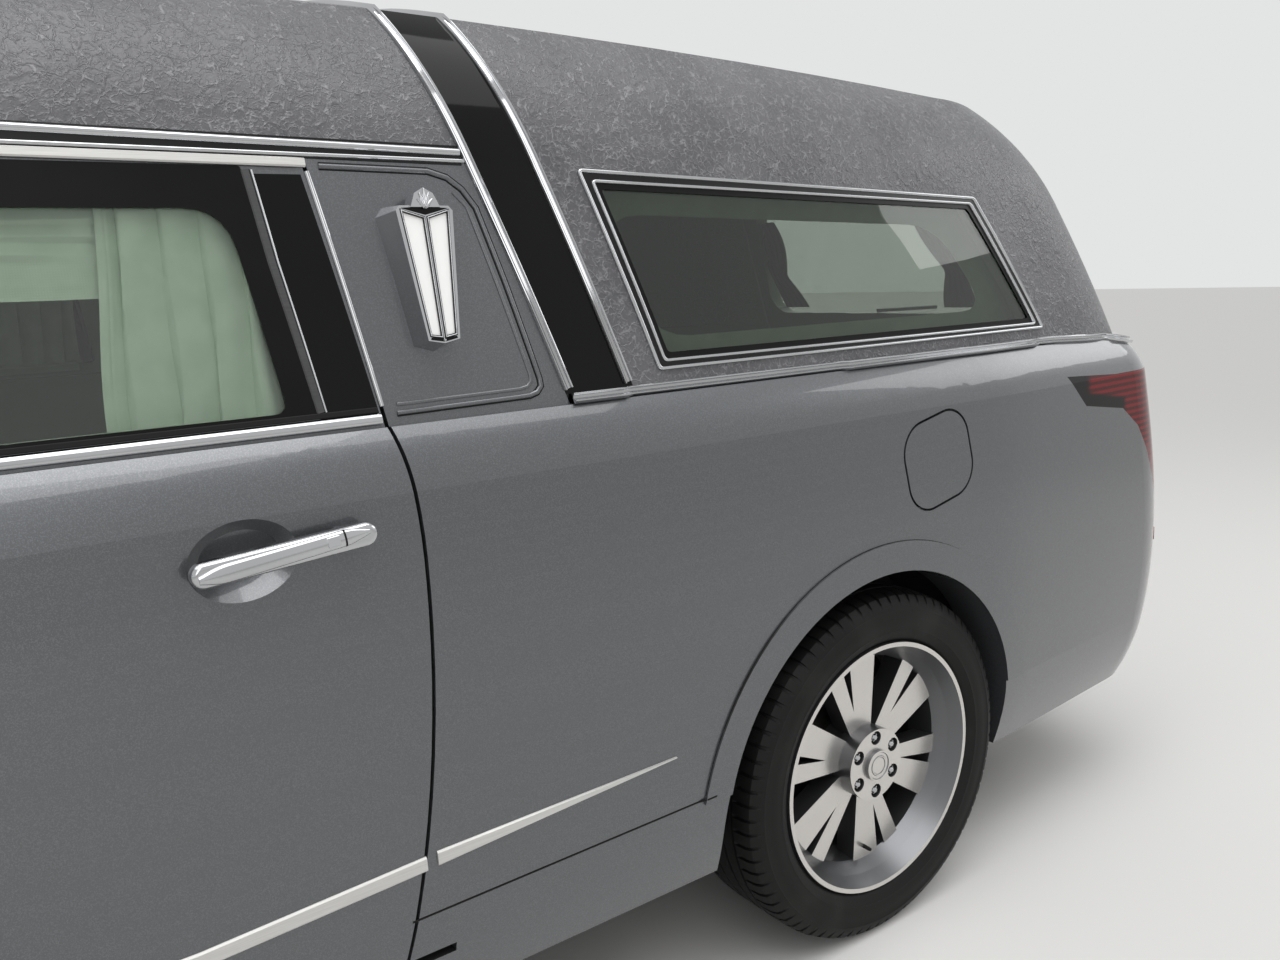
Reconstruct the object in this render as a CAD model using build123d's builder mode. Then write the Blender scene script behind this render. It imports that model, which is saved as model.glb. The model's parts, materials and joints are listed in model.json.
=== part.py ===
from build123d import *

import os
from math import cos, radians, sin, tan

# A full-size funeral coach on a stretched sport-utility chassis, panel by panel.
# Millimetres. X points to the vehicle's left, Y to its rear, Z up.
# The origin is on the ground, midway between the foremost and the rearmost point.

os.makedirs("parts", exist_ok=True)

# Driving dimensions of the whole vehicle
WHEELBASE = 3800
FRONT_OVERHANG = 950
REAR_OVERHANG = 1300
HALF_WIDTH = 951
HALF_TRACK = 819
BELT = 1222
CREASE = 1130
ROCKER_LINE = 470
BODY_BOTTOM = 300
ROOF_RISE = 713
DRIP_RISE = 378
BELT_HALF_WIDTH = 892
TUMBLEHOME = 0.159

# Walls, gaps and clearances
LOWER_WALL = 110
UPPER_WALL = 45
SKIN = 30
JAMB_STEP = 22
PANEL_GAP = 6
TAILGATE_GAP = 9
GLASS_RECESS = 2
GLASS_THICKNESS = 6
HOOD_THICKNESS = 24
FIT = 1

# Wheels
TYRE_RADIUS = 378
TYRE_HALF_WIDTH = 118
RIM_RADIUS = 271.5
RIM_HALF_WIDTH = 108
BEAD_RADIUS = 256
LUG_PLANE = 87
SPOKE_PAIRS = 6
DISC_RADIUS = 172
FRONT_ARCH_RADIUS = 432
REAR_ARCH_RADIUS = 425
ARCH_HEIGHT = 386
KINGPIN_HALF_TRACK = 780

# Stations that the axles and the ends of the body set
LENGTH = FRONT_OVERHANG + WHEELBASE + REAR_OVERHANG
NOSE = -LENGTH / 2
TAIL = LENGTH / 2
FRONT_AXLE = NOSE + FRONT_OVERHANG
REAR_AXLE = TAIL - REAR_OVERHANG
DOOR_FRONT = FRONT_AXLE + 600
DOOR_SPLIT = FRONT_AXLE + 1700
DOOR_REAR = REAR_AXLE - 1000
DOOR_SILL = BODY_BOTTOM + 92
BAND_FOOT = REAR_AXLE - 705
BAND_WIDTH = 132
BAND_LEAN = 18.8
FRONT_BUMPER_SEAM = FRONT_AXLE - 485
REAR_BUMPER_SEAM = TAIL - 150
FLOOR = 350
FLOOR_THICKNESS = 40
UNDERSIDE = FLOOR - FLOOR_THICKNESS / 2
DECK = 690
DECK_HALF_WIDTH = 590
DECK_FRONT = REAR_AXLE - 1330
SIDE_REACH = HALF_WIDTH + 60
TAILGATE_HALF_WIDTH = 640
TAILGATE_FLARE = 28
TAILGATE_SILL = 700
TAILGATE_TOP = 1690
FIREWALL = DOOR_FRONT - 20

# Plan outlines of the lower body, in three bands that meet at its two creases.
# height, half width, nose setback, tail setback, rear corner inset in x, rear corner setback in y
SILL_BAND = [
    (BODY_BOTTOM, HALF_WIDTH - 48, 95, 65, 111, 165),
    (BODY_BOTTOM + 85, HALF_WIDTH - 25, 40, 30, 83, 135),
    (ROCKER_LINE, HALF_WIDTH - 11, 15, 13, 67, 123),
]
DOOR_BAND = [
    SILL_BAND[-1],
    (ROCKER_LINE + 170, HALF_WIDTH - 2, 0, 0, 51, 120),
    (ROCKER_LINE + 380, HALF_WIDTH, 30, 35, 45, 135),
    (CREASE, HALF_WIDTH - 11, 125, 95, 52, 190),
]
SHOULDER_BAND = [
    DOOR_BAND[-1],
    (CREASE + 50, HALF_WIDTH - 24, 145, 125, 70, 215),
    (BELT, HALF_WIDTH - 51, 175, 170, 98, 255),
]
END_HALF_WIDTH = 450
END_RADIUS = 900
NOSE_CORNER_RADIUS = 300
TAIL_CORNER_RADIUS = 230
NOSE_CHAMFER = (80, 190)
FLANK_START, FLANK_END = FRONT_AXLE - 175, REAR_AXLE + 400
FLANK_START_RADIUS, FLANK_END_RADIUS = 1200, 2500


def plan_outline(half, nose, tail, corner_x, corner_y, inset):
    """Left-hand vertices and fillet radii of one horizontal outline, front to rear."""
    flat = END_HALF_WIDTH - 0.4 * inset
    points = [
        (flat, NOSE + nose + inset),
        (half - inset - NOSE_CHAMFER[0], NOSE + nose + inset + NOSE_CHAMFER[1]),
        (half - inset, FLANK_START),
        (half - inset, FLANK_END),
        (HALF_WIDTH - corner_x - inset, TAIL - corner_y - 0.8 * inset),
        (flat, TAIL - tail - inset),
    ]
    corners = NOSE_CORNER_RADIUS - inset, TAIL_CORNER_RADIUS - inset
    return points, [END_RADIUS, corners[0], FLANK_START_RADIUS, FLANK_END_RADIUS, corners[1], END_RADIUS]


def plan_loft(rows, inset=0):
    """Solid through the horizontal outlines of rows, each pulled in by inset."""
    with BuildPart() as solid:
        for height, half, nose, tail, corner_x, corner_y in rows:
            points, radii = plan_outline(half, nose, tail, corner_x, corner_y, inset)
            mirrored = [(-x, y) for x, y in reversed(points)]
            with BuildSketch(Plane.XY.offset(height)):
                with BuildLine():
                    FilletPolyline(*points, *mirrored, radius=radii + radii[::-1], close=True)
                make_face()
        loft()
    return solid.part


# Cross sections of the greenhouse, each in a plane that leans forward at its top.
# y at the belt, lean in degrees, half width at the belt, drip rise, roof rise
FRONT_SECTIONS = [
    (FRONT_AXLE + 375, 0, BELT_HALF_WIDTH - 42, DRIP_RISE - 48, ROOF_RISE - 103),
    (FRONT_AXLE + 1375, 0, BELT_HALF_WIDTH - 10, DRIP_RISE - 12, ROOF_RISE - 33),
    (REAR_AXLE - 1325, 0, BELT_HALF_WIDTH, DRIP_RISE, ROOF_RISE),
    (BAND_FOOT, BAND_LEAN, BELT_HALF_WIDTH, DRIP_RISE, ROOF_RISE),
]
TAIL_START = TAIL - 535
TAIL_LEAN = 30
TAIL_SHRINK = 16
REAR_SECTIONS = [
    FRONT_SECTIONS[-1],
    (TAIL - 1050, 26, BELT_HALF_WIDTH - 3, DRIP_RISE - 18, ROOF_RISE - 34),
    (TAIL_START, TAIL_LEAN, BELT_HALF_WIDTH - TAIL_SHRINK, DRIP_RISE - 31, ROOF_RISE - 66),
]

# Quarter ellipse that rounds the tail: its length, and what it takes off width, drip and roof
TAIL_ROUND = 300
TAIL_ROUND_SIDE = 190
TAIL_ROUND_DRIP = 60
TAIL_ROUND_ROOF = 130
TAIL_SECTIONS = []
for angle in (0, 28, 56, 80):
    share = 1 - cos(radians(angle))
    TAIL_SECTIONS.append((
        TAIL_START + TAIL_ROUND * sin(radians(angle)),
        TAIL_LEAN,
        REAR_SECTIONS[-1][2] - TAIL_ROUND_SIDE * share,
        REAR_SECTIONS[-1][3] - TAIL_ROUND_DRIP * share,
        REAR_SECTIONS[-1][4] - TAIL_ROUND_ROOF * share,
    ))
END_STRETCH = 1200

# Roof shape of every section: its crown, the shoulder's inset and bulge, and the side's bow
ROOF_EDGE_INSET = 190
ROOF_CAMBER, ROOF_CAMBER_WIDTH = 100, 700
SHOULDER_INSET, SHOULDER_LEAN, SHOULDER_SHARE = 92, 0.06, 0.62
SIDE_BOW = 5


def section_loft(sections, inset=0):
    """Solid through the leaning cross sections, each pulled in by inset."""
    with BuildPart() as solid:
        for foot, lean, half, drip_rise, roof_rise in sections:
            cosine, sine = cos(radians(lean)), sin(radians(lean))
            moved = foot - inset / cosine if foot > TAIL - END_STRETCH else foot
            plane = Plane(origin=(0, moved, BELT), x_dir=(1, 0, 0), z_dir=(0, -cosine, -sine))
            w, drip, roof = half - inset, drip_rise / cosine, roof_rise / cosine - inset
            drip_x = w - TUMBLEHOME * drip_rise
            edge_x = w - ROOF_EDGE_INSET
            edge_z = roof - ROOF_CAMBER * (edge_x / ROOF_CAMBER_WIDTH) ** 2
            bulge_x = w - SHOULDER_INSET - SHOULDER_LEAN * drip_rise
            bulge_z = drip + SHOULDER_SHARE * (edge_z - drip)
            side_x = (w + drip_x) / 2 + SIDE_BOW
            with BuildSketch(plane):
                with BuildLine():
                    Line((-w, 0), (w, 0))
                    ThreePointArc((w, 0), (side_x, drip / 2), (drip_x, drip))
                    ThreePointArc((drip_x, drip), (bulge_x, bulge_z), (edge_x, edge_z))
                    ThreePointArc((edge_x, edge_z), (0, roof), (-edge_x, edge_z))
                    ThreePointArc((-edge_x, edge_z), (-bulge_x, bulge_z), (-drip_x, drip))
                    ThreePointArc((-drip_x, drip), (-side_x, drip / 2), (-w, 0))
                make_face()
        loft()
    return solid.part


# The windscreen is a part of a cylinder whose axis lies along its rake
SCREEN_FOOT = (0, FRONT_AXLE + 515, BELT)
SCREEN_RAKE = radians(38)
SCREEN_RADIUS = 2600
SCREEN_PLANE = Plane(
    origin=SCREEN_FOOT, x_dir=(1, 0, 0), z_dir=(0, cos(SCREEN_RAKE), sin(SCREEN_RAKE))
)
SCREEN_NORMAL = Plane(
    origin=SCREEN_FOOT, x_dir=(1, 0, 0), z_dir=(0, -sin(SCREEN_RAKE), cos(SCREEN_RAKE))
)


def screen_volume(setback=0):
    """Everything behind the windscreen's outer face moved back by setback."""
    reach, depth = 1100, 3600
    edge = setback + SCREEN_RADIUS - (SCREEN_RADIUS**2 - reach**2) ** 0.5
    with BuildPart() as volume:
        with BuildSketch(SCREEN_PLANE):
            with BuildLine():
                ThreePointArc((-reach, edge), (0, setback), (reach, edge))
                Polyline((reach, edge), (reach, depth), (-reach, depth), (-reach, edge))
            make_face()
        extrude(amount=6000, both=True)
    return volume.part


def front_cabin(inset=0):
    """Volume above the belt from the windscreen to the roof band, pulled in by inset."""
    with BuildPart() as volume:
        add(section_loft(FRONT_SECTIONS, inset))
        add(screen_volume(inset), mode=Mode.INTERSECT)
    return volume.part


def rear_cabin(inset=0):
    """Volume above the belt from the roof band to the tail, pulled in by inset."""
    with BuildPart() as volume:
        add(section_loft(REAR_SECTIONS, inset))
        add(section_loft(TAIL_SECTIONS, inset))
    return volume.part


# Crowned top of the hood and wings: y, height on the centre line
HOOD_SECTIONS = [
    (FRONT_AXLE + 775, BELT + 75),
    (FRONT_AXLE + 325, BELT + 50),
    (FRONT_AXLE - 125, BELT + 3),
    (FRONT_AXLE - 575, BELT - 87),
    (FRONT_AXLE - 1025, BELT - 262),
]
HOOD_CROWN = 80


def hood_volume(drop=0):
    """Everything under the crowned hood surface lowered by drop."""
    reach = HALF_WIDTH + 50
    with BuildPart() as volume:
        for y, top in HOOD_SECTIONS:
            edge = top - drop - HOOD_CROWN
            with BuildSketch(Plane(origin=(0, y, 0), x_dir=(1, 0, 0), z_dir=(0, -1, 0))):
                with BuildLine():
                    ThreePointArc((-reach, edge), (0, top - drop), (reach, edge))
                    Polyline((reach, edge), (reach, 100), (-reach, 100), (-reach, edge))
                make_face()
        loft()
    return volume.part


def side_prism(points, inner=0):
    """Prisms of a side-view outline on both sides, from inner out past the body's side."""
    with BuildPart() as prism:
        with BuildSketch(Plane.YZ.offset(inner)):
            with BuildLine():
                Polyline(*points, close=True)
            make_face()
        extrude(amount=SIDE_REACH - inner)
        mirror(about=Plane.YZ)
    return prism.part


def side_solid(face, inner=0):
    """Prism of a side-view sketch on the left side only."""
    with BuildPart() as prism:
        with BuildSketch(Plane.YZ.offset(inner)):
            add(face)
        extrude(amount=SIDE_REACH - inner)
    return prism.part


def slab(x0, x1, y0, y1, z0, z1):
    """Box between two corners."""
    with BuildPart() as box:
        with BuildSketch(Plane.XY.offset(z0)):
            with Locations(((x0 + x1) / 2, (y0 + y1) / 2)):
                Rectangle(x1 - x0, y1 - y0)
        extrude(amount=z1 - z0)
    return box.part


def cross_cylinder(y, z, radius, x0, x1):
    """Cylinder whose axis lies across the vehicle."""
    with BuildPart() as drum:
        with BuildSketch(Plane.YZ.offset(x0)):
            with Locations((y, z)):
                Circle(radius)
        extrude(amount=x1 - x0)
    return drum.part


def save(part, name):
    """Labels one node and writes it."""
    part.label = name
    export_step(part, f"parts/{name}.step")


# Master volumes that the panels are cut from
with BuildPart() as lower_outer:
    add(plan_loft(SILL_BAND))
    add(plan_loft(DOOR_BAND))
    add(plan_loft(SHOULDER_BAND))

INNER_BAND = [
    (BODY_BOTTOM - 50, *SILL_BAND[0][1:]),
    DOOR_BAND[1],
    DOOR_BAND[2],
    (BELT + 40, *SHOULDER_BAND[2][1:]),
]
lower_inner = plan_loft(INNER_BAND, LOWER_WALL)
lower_skin = plan_loft(INNER_BAND, SKIN)
front_block = slab(-SIDE_REACH, SIDE_REACH, NOSE - 50, DOOR_FRONT - PANEL_GAP, 0, 1400)

with BuildPart() as lower_wall:
    add(lower_outer.part)
    add(lower_inner, mode=Mode.SUBTRACT)

with BuildPart() as front_wall:
    add(lower_wall.part)
    add(front_block, mode=Mode.INTERSECT)
    add(hood_volume(), mode=Mode.INTERSECT)


def shell_between(outer, inner):
    """What is left of a volume when a smaller one inside it is taken away."""
    with BuildPart() as shell:
        add(outer)
        add(inner, mode=Mode.SUBTRACT)
    return shell.part


PANE_DEPTH = GLASS_RECESS + GLASS_THICKNESS
front_outer, front_inner = front_cabin(), front_cabin(UPPER_WALL)
front_glass_back = front_cabin(PANE_DEPTH)
rear_outer, rear_inner = rear_cabin(), rear_cabin(UPPER_WALL)
front_upper = shell_between(front_outer, front_inner)
rear_upper = shell_between(rear_outer, rear_inner)
front_pane = shell_between(front_cabin(GLASS_RECESS), front_glass_back)
rear_pane = shell_between(rear_cabin(GLASS_RECESS), rear_cabin(PANE_DEPTH))
front_rim = shell_between(front_outer, front_glass_back)

# Side-view outlines: doors, windows and the zones of the roof
lean = tan(radians(BAND_LEAN))
ROOF_TOP = BELT + ROOF_RISE + 60


def band_line(offset, z):
    """Point of a line parallel to the roof band, offset rearwards from its front edge."""
    return (BAND_FOOT + offset - (z - BELT) * lean, z)


with BuildSketch() as front_door_face:
    with BuildLine():
        Polyline(
            (DOOR_FRONT, DOOR_SILL),
            (DOOR_FRONT, BELT - 20),
            (DOOR_FRONT + 205, BELT + 2),
            (DOOR_FRONT + 675, BELT + 366),
            (DOOR_SPLIT - PANEL_GAP, BELT + 380),
            (DOOR_SPLIT - PANEL_GAP, DOOR_SILL),
            close=True,
        )
    make_face()

with BuildSketch() as rear_door_face:
    with BuildLine():
        Polyline(
            (DOOR_REAR - 80, DOOR_SILL),
            (DOOR_SPLIT, DOOR_SILL),
            (DOOR_SPLIT, BELT + 381),
            (DOOR_REAR - 85, BELT + 372),
            (DOOR_REAR - 20, BELT),
        )
        ThreePointArc((DOOR_REAR - 20, BELT), (DOOR_REAR - 6, BELT - 88), (DOOR_REAR, BELT - 190))
        ThreePointArc(
            (DOOR_REAR, BELT - 190), (DOOR_REAR - 22, BELT - 530), (DOOR_REAR - 80, DOOR_SILL)
        )
    make_face()

with BuildSketch() as front_window_face:
    with BuildLine():
        Polyline(
            (DOOR_FRONT + 315, BELT + 28),
            (DOOR_FRONT + 712, BELT + 335),
            (DOOR_SPLIT - 60, BELT + 350),
            (DOOR_SPLIT - 60, BELT + 28),
            close=True,
        )
    make_face()
    fillet(front_window_face.vertices(), 18)

with BuildSketch() as rear_window_face:
    with BuildLine():
        Polyline(
            (DOOR_SPLIT + 50, BELT + 28),
            (DOOR_SPLIT + 50, BELT + 354),
            (DOOR_REAR - 165, BELT + 350),
            (DOOR_REAR - 116, BELT + 28),
            close=True,
        )
    make_face()
    fillet(rear_window_face.vertices(), 12)

with BuildSketch() as applique_face:
    with BuildLine():
        Polyline(
            (DOOR_REAR - 112, BELT + 20),
            (DOOR_REAR - 161, BELT + 356),
            (DOOR_REAR - 88, BELT + 356),
            (DOOR_REAR - 26, BELT + 20),
            close=True,
        )
    make_face()

with BuildSketch() as quarter_window_face:
    with BuildLine():
        Polyline(
            (REAR_AXLE - 517, BELT + 49),
            (REAR_AXLE - 608, BELT + 347),
            (REAR_AXLE + 367, BELT + 329),
            (REAR_AXLE + 565, BELT + 40),
            close=True,
        )
    make_face()
    fillet(quarter_window_face.vertices(), 12)

with BuildSketch() as openings_face:
    add(front_door_face.sketch)
    add(rear_door_face.sketch)
    offset(amount=PANEL_GAP, kind=Kind.INTERSECTION)

DOORS = {"front": (front_door_face, front_window_face), "rear": (rear_door_face, rear_window_face)}
doorways = side_solid(openings_face.sketch)
doorways_both = Part() + [doorways, mirror(doorways, about=Plane.YZ)]

# Bar handles: their place on each door, and the oval cup that the fingers reach into
HANDLE_HEIGHT = BELT - 139
HANDLE_LENGTH = 248
HANDLE_RISE = 4.2
HANDLE_BACK = {"front": DOOR_SPLIT - 40, "rear": DOOR_REAR - 78}
CUP_AHEAD = 76
CUP_MOUTH = (76, 58)
CUP_FLOOR = (52, 34)
CUP_DEPTH = 22
SKIN_PLANE = HALF_WIDTH - 9


def handle_cup(row):
    """Oval recess in the left door's skin behind the front part of its handle."""
    centre = (HANDLE_BACK[row] - HANDLE_LENGTH + CUP_AHEAD, HANDLE_HEIGHT - 4)
    with BuildPart() as cup:
        for setback, radii in ((-CUP_DEPTH / 4, CUP_MOUTH), (CUP_DEPTH, CUP_FLOOR)):
            with BuildSketch(Plane.YZ.offset(SKIN_PLANE - setback)):
                with Locations(centre):
                    Ellipse(*radii, rotation=HANDLE_RISE)
        loft()
    return cup.part


# Doors: an outer skin with a deeper inner panel that stands back from its edges
for row, (door_face, window_face) in DOORS.items():
    with BuildSketch() as inner_face:
        add(door_face.sketch)
        offset(amount=-JAMB_STEP, kind=Kind.INTERSECTION)
    full = side_solid(door_face.sketch)
    core = side_solid(inner_face.sketch)
    window = side_solid(window_face.sketch)
    with BuildPart() as outer_panel:
        add(lower_outer.part)
        add(lower_skin, mode=Mode.SUBTRACT)
        add(full, mode=Mode.INTERSECT)
    with BuildPart() as inner_panel:
        add(lower_wall.part)
        add(core, mode=Mode.INTERSECT)
    with BuildPart() as frame:
        add(front_upper)
        add(full, mode=Mode.INTERSECT)
        add(window, mode=Mode.SUBTRACT)
    with BuildPart() as door:
        add(outer_panel.part)
        add(inner_panel.part)
        add(frame.part)
        add(handle_cup(row), mode=Mode.SUBTRACT)
        if row == "rear":
            add(front_rim & side_solid(applique_face.sketch), mode=Mode.SUBTRACT)
    with BuildPart() as glass:
        add(front_pane)
        add(window, mode=Mode.INTERSECT)
    save(door.part, f"{row}_door_left")
    save(mirror(door.part, about=Plane.YZ), f"{row}_door_right")
    save(glass.part, f"{row}_door_glass_left")
    save(mirror(glass.part, about=Plane.YZ), f"{row}_door_glass_right")

with BuildPart() as appliques:
    add(front_rim)
    add(side_solid(applique_face.sketch), mode=Mode.INTERSECT)
for side, part in (("left", appliques.part), ("right", mirror(appliques.part, about=Plane.YZ))):
    save(part, f"pillar_applique_{side}")

# Roof zones
with BuildPart() as roof_band:
    add(rear_upper)
    add(side_prism([band_line(-40, BELT - 20), band_line(-40, ROOF_TOP),
                    band_line(BAND_WIDTH, ROOF_TOP), band_line(BAND_WIDTH, BELT - 20)]),
        mode=Mode.INTERSECT)
save(roof_band.part, "roof_band")


def tailgate_volume(gap=0):
    """Plan-view wedge of the loading door, wider towards the tail."""
    flare = tan(radians(TAILGATE_FLARE))
    near, far = REAR_AXLE + 700, TAIL + 60
    wide = TAILGATE_HALF_WIDTH + gap + (far - TAIL + 35) * flare
    narrow = TAILGATE_HALF_WIDTH + gap + (near - TAIL + 35) * flare
    with BuildPart() as wedge:
        with BuildSketch(Plane.XY.offset(TAILGATE_SILL - gap)):
            with BuildLine():
                Polyline((narrow, near), (wide, far), (-wide, far), (-narrow, near), close=True)
            make_face()
        extrude(amount=TAILGATE_TOP - TAILGATE_SILL + 2 * gap)
    return wedge.part


tail_opening = tailgate_volume(TAILGATE_GAP)
quarter_window = side_solid(quarter_window_face.sketch)

with BuildPart() as landau_roof:
    add(rear_upper)
    add(side_prism([band_line(BAND_WIDTH, BELT - 20), band_line(BAND_WIDTH, ROOF_TOP),
                    (TAIL, ROOF_TOP), (TAIL, BELT - 20)]), mode=Mode.INTERSECT)
    add(quarter_window, mode=Mode.SUBTRACT)
    add(mirror(quarter_window, about=Plane.YZ), mode=Mode.SUBTRACT)
    add(tail_opening, mode=Mode.SUBTRACT)
save(landau_roof.part, "landau_roof")

with BuildPart() as quarter_glass:
    add(rear_pane)
    add(quarter_window, mode=Mode.INTERSECT)
    mirror(about=Plane.YZ)
save(quarter_glass.part, "quarter_glass")

SCREEN_BAND = (-20, 980)
SCREEN_HALF_WIDTHS = (740, 560)
with BuildPart() as screen_opening:
    with BuildSketch(SCREEN_NORMAL):
        with BuildLine():
            (low, high), (wide, narrow) = SCREEN_BAND, SCREEN_HALF_WIDTHS
            Polyline((wide, low), (narrow, high), (-narrow, high), (-wide, low), close=True)
        make_face()
        fillet(vertices(), 60)
    extrude(amount=400, both=True)

VINYL_EDGE = [
    (DOOR_FRONT + 600, BELT + 412),
    (DOOR_SPLIT, BELT + 412),
    (DOOR_REAR - 450, BELT + 412),
    band_line(0, BELT + 396),
]
with BuildPart() as front_roof:
    add(front_upper)
    add(side_prism(VINYL_EDGE + [band_line(0, ROOF_TOP), (DOOR_FRONT + 600, ROOF_TOP)]),
        mode=Mode.INTERSECT)
    add(screen_opening.part, mode=Mode.SUBTRACT)
save(front_roof.part, "front_roof")

with BuildPart() as windscreen:
    add(front_pane)
    add(screen_opening.part, mode=Mode.INTERSECT)
    add(slab(-SIDE_REACH, SIDE_REACH, NOSE, DOOR_SPLIT, BELT, BELT + 600), mode=Mode.INTERSECT)
save(windscreen.part, "windscreen")

PILLAR_OUTSIDE = HALF_WIDTH - LOWER_WALL - 16
PILLAR_DEPTH = 55


def pillar(y0, y1, top):
    """Upright behind the doors' inner faces, leaning in with the glass above the belt."""
    waist = HALF_WIDTH - LOWER_WALL - 58
    with BuildPart() as post:
        with BuildSketch(Plane.XZ.offset(-y1)):
            with BuildLine():
                outer_edge = [
                    (PILLAR_OUTSIDE - 26, FLOOR + FLOOR_THICKNESS / 2),
                    (PILLAR_OUTSIDE - 3, ROCKER_LINE + 120),
                    (PILLAR_OUTSIDE - 3, CREASE - 200),
                    (PILLAR_OUTSIDE - 14, CREASE - 30),
                    (waist, BELT),
                ]
                if top > BELT:
                    outer_edge.append((waist - TUMBLEHOME * (top - BELT) + 20, top))
                inner_edge = [(x - PILLAR_DEPTH, z) for x, z in reversed(outer_edge)]
                Polyline(*outer_edge, *inner_edge, close=True)
            make_face()
        extrude(amount=y1 - y0)
        mirror(about=Plane.YZ)
    return post.part


RAIL = (BELT + 390, BELT + 410)
SPLIT_POST = (DOOR_SPLIT - PANEL_GAP / 2 - 60, DOOR_SPLIT - PANEL_GAP / 2 + 60)
HINGE_POST = (DOOR_FRONT + 75, DOOR_FRONT + 185)
POST_INSIDE = HALF_WIDTH - LOWER_WALL - 58 - PILLAR_DEPTH
with BuildPart() as cab_frame:
    add(front_upper)
    add(side_prism(VINYL_EDGE + [band_line(0, BELT - 10), (DOOR_FRONT - 300, BELT - 10),
                                 (DOOR_FRONT - 300, ROOF_TOP), (DOOR_FRONT + 600, ROOF_TOP)]),
        mode=Mode.INTERSECT)
    add(screen_opening.part, mode=Mode.SUBTRACT)
    add(doorways_both, mode=Mode.SUBTRACT)
    add(lower_wall.part & slab(-SIDE_REACH, SIDE_REACH, DOOR_FRONT - PANEL_GAP, DOOR_REAR + 8,
                               BODY_BOTTOM, DOOR_SILL - PANEL_GAP))
    add(pillar(*SPLIT_POST, RAIL[1]))
    add(pillar(*HINGE_POST, BELT))
    headers = slab(POST_INSIDE - 30, PILLAR_OUTSIDE - 25, *SPLIT_POST, *RAIL)
    brackets = slab(POST_INSIDE, POST_INSIDE + PILLAR_DEPTH, *HINGE_POST, BELT - 10, BELT + 45)
    feet = slab(POST_INSIDE, PILLAR_OUTSIDE + 40, DOOR_FRONT + 20, DOOR_REAR - 110,
                FLOOR + FLOOR_THICKNESS / 2, DOOR_SILL - PANEL_GAP)
    for piece in (headers, brackets, feet):
        add(piece)
        add(mirror(piece, about=Plane.YZ))
save(cab_frame.part, "cab_frame")

# Lower body behind the doors
with BuildSketch() as arch_cut_face:
    with Locations((REAR_AXLE - 15, ARCH_HEIGHT)):
        Circle(REAR_ARCH_RADIUS)
    with Locations((REAR_AXLE - 15, ARCH_HEIGHT - 200)):
        Rectangle(2 * REAR_ARCH_RADIUS, 400)
rear_arch = side_solid(arch_cut_face.sketch)

# Fuel door: y, z, width and height
FUEL_DOOR = (REAR_AXLE + 146, BELT - 201, 198, 180)
FUEL_RECESS = 26
FUEL_DOOR_THICKNESS = 12
FUEL_GAP = 5
FUEL_CORNER = 62
FUEL_TURN = 12
with BuildSketch() as fuel_face:
    with Locations(Location((FUEL_DOOR[0], FUEL_DOOR[1], 0), (0, 0, FUEL_TURN))):
        RectangleRounded(FUEL_DOOR[2], FUEL_DOOR[3], FUEL_CORNER)
with BuildSketch() as fuel_opening_face:
    add(fuel_face.sketch)
    offset(amount=FUEL_GAP)

with BuildSketch() as lamp_face:
    with BuildLine():
        Polyline(
            (TAIL - 675, CREASE + 17),
            (TAIL - 596, CREASE - 59),
            (TAIL - 423, CREASE - 83),
            (TAIL - 348, CREASE - 134),
            (TAIL - 294, CREASE - 206),
            (TAIL - 227, CREASE - 317),
            (TAIL + 40, CREASE - 331),
            (TAIL + 40, CREASE + 4),
            (TAIL - 459, CREASE + 4),
            close=True,
        )
    make_face()
LAMP_DEPTH = 70
lamp_inner = plan_loft(INNER_BAND, LAMP_DEPTH)
lamp_side_limit = slab(TAILGATE_HALF_WIDTH + 28, SIDE_REACH, REAR_AXLE, TAIL + 60, 0, BELT + 10)

with BuildPart() as tail_lamps:
    add(lower_outer.part)
    add(lamp_inner, mode=Mode.SUBTRACT)
    add(side_solid(lamp_face.sketch), mode=Mode.INTERSECT)
    add(lamp_side_limit, mode=Mode.INTERSECT)
    mirror(about=Plane.YZ)
save(tail_lamps.part, "tail_lamps")

# Raised lips around the wheel openings, down to the rocker line
LIP_WIDTH = 62
LIP_RISE = 5
LIP_ROOT = 15
lip_volume = shell_between(plan_loft(DOOR_BAND, -LIP_RISE), plan_loft(DOOR_BAND, LIP_ROOT))


def arch_lip(centre, radius):
    """Lip of one wheel opening on both sides, raised from the body's skin."""
    with BuildPart() as lip:
        with BuildSketch(Plane.YZ.offset(HALF_TRACK)):
            with Locations((centre, ARCH_HEIGHT)):
                Circle(radius + LIP_WIDTH)
                Circle(radius, mode=Mode.SUBTRACT)
        extrude(amount=SIDE_REACH - HALF_TRACK)
        mirror(about=Plane.YZ)
        add(lip_volume, mode=Mode.INTERSECT)
    return lip.part


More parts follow.
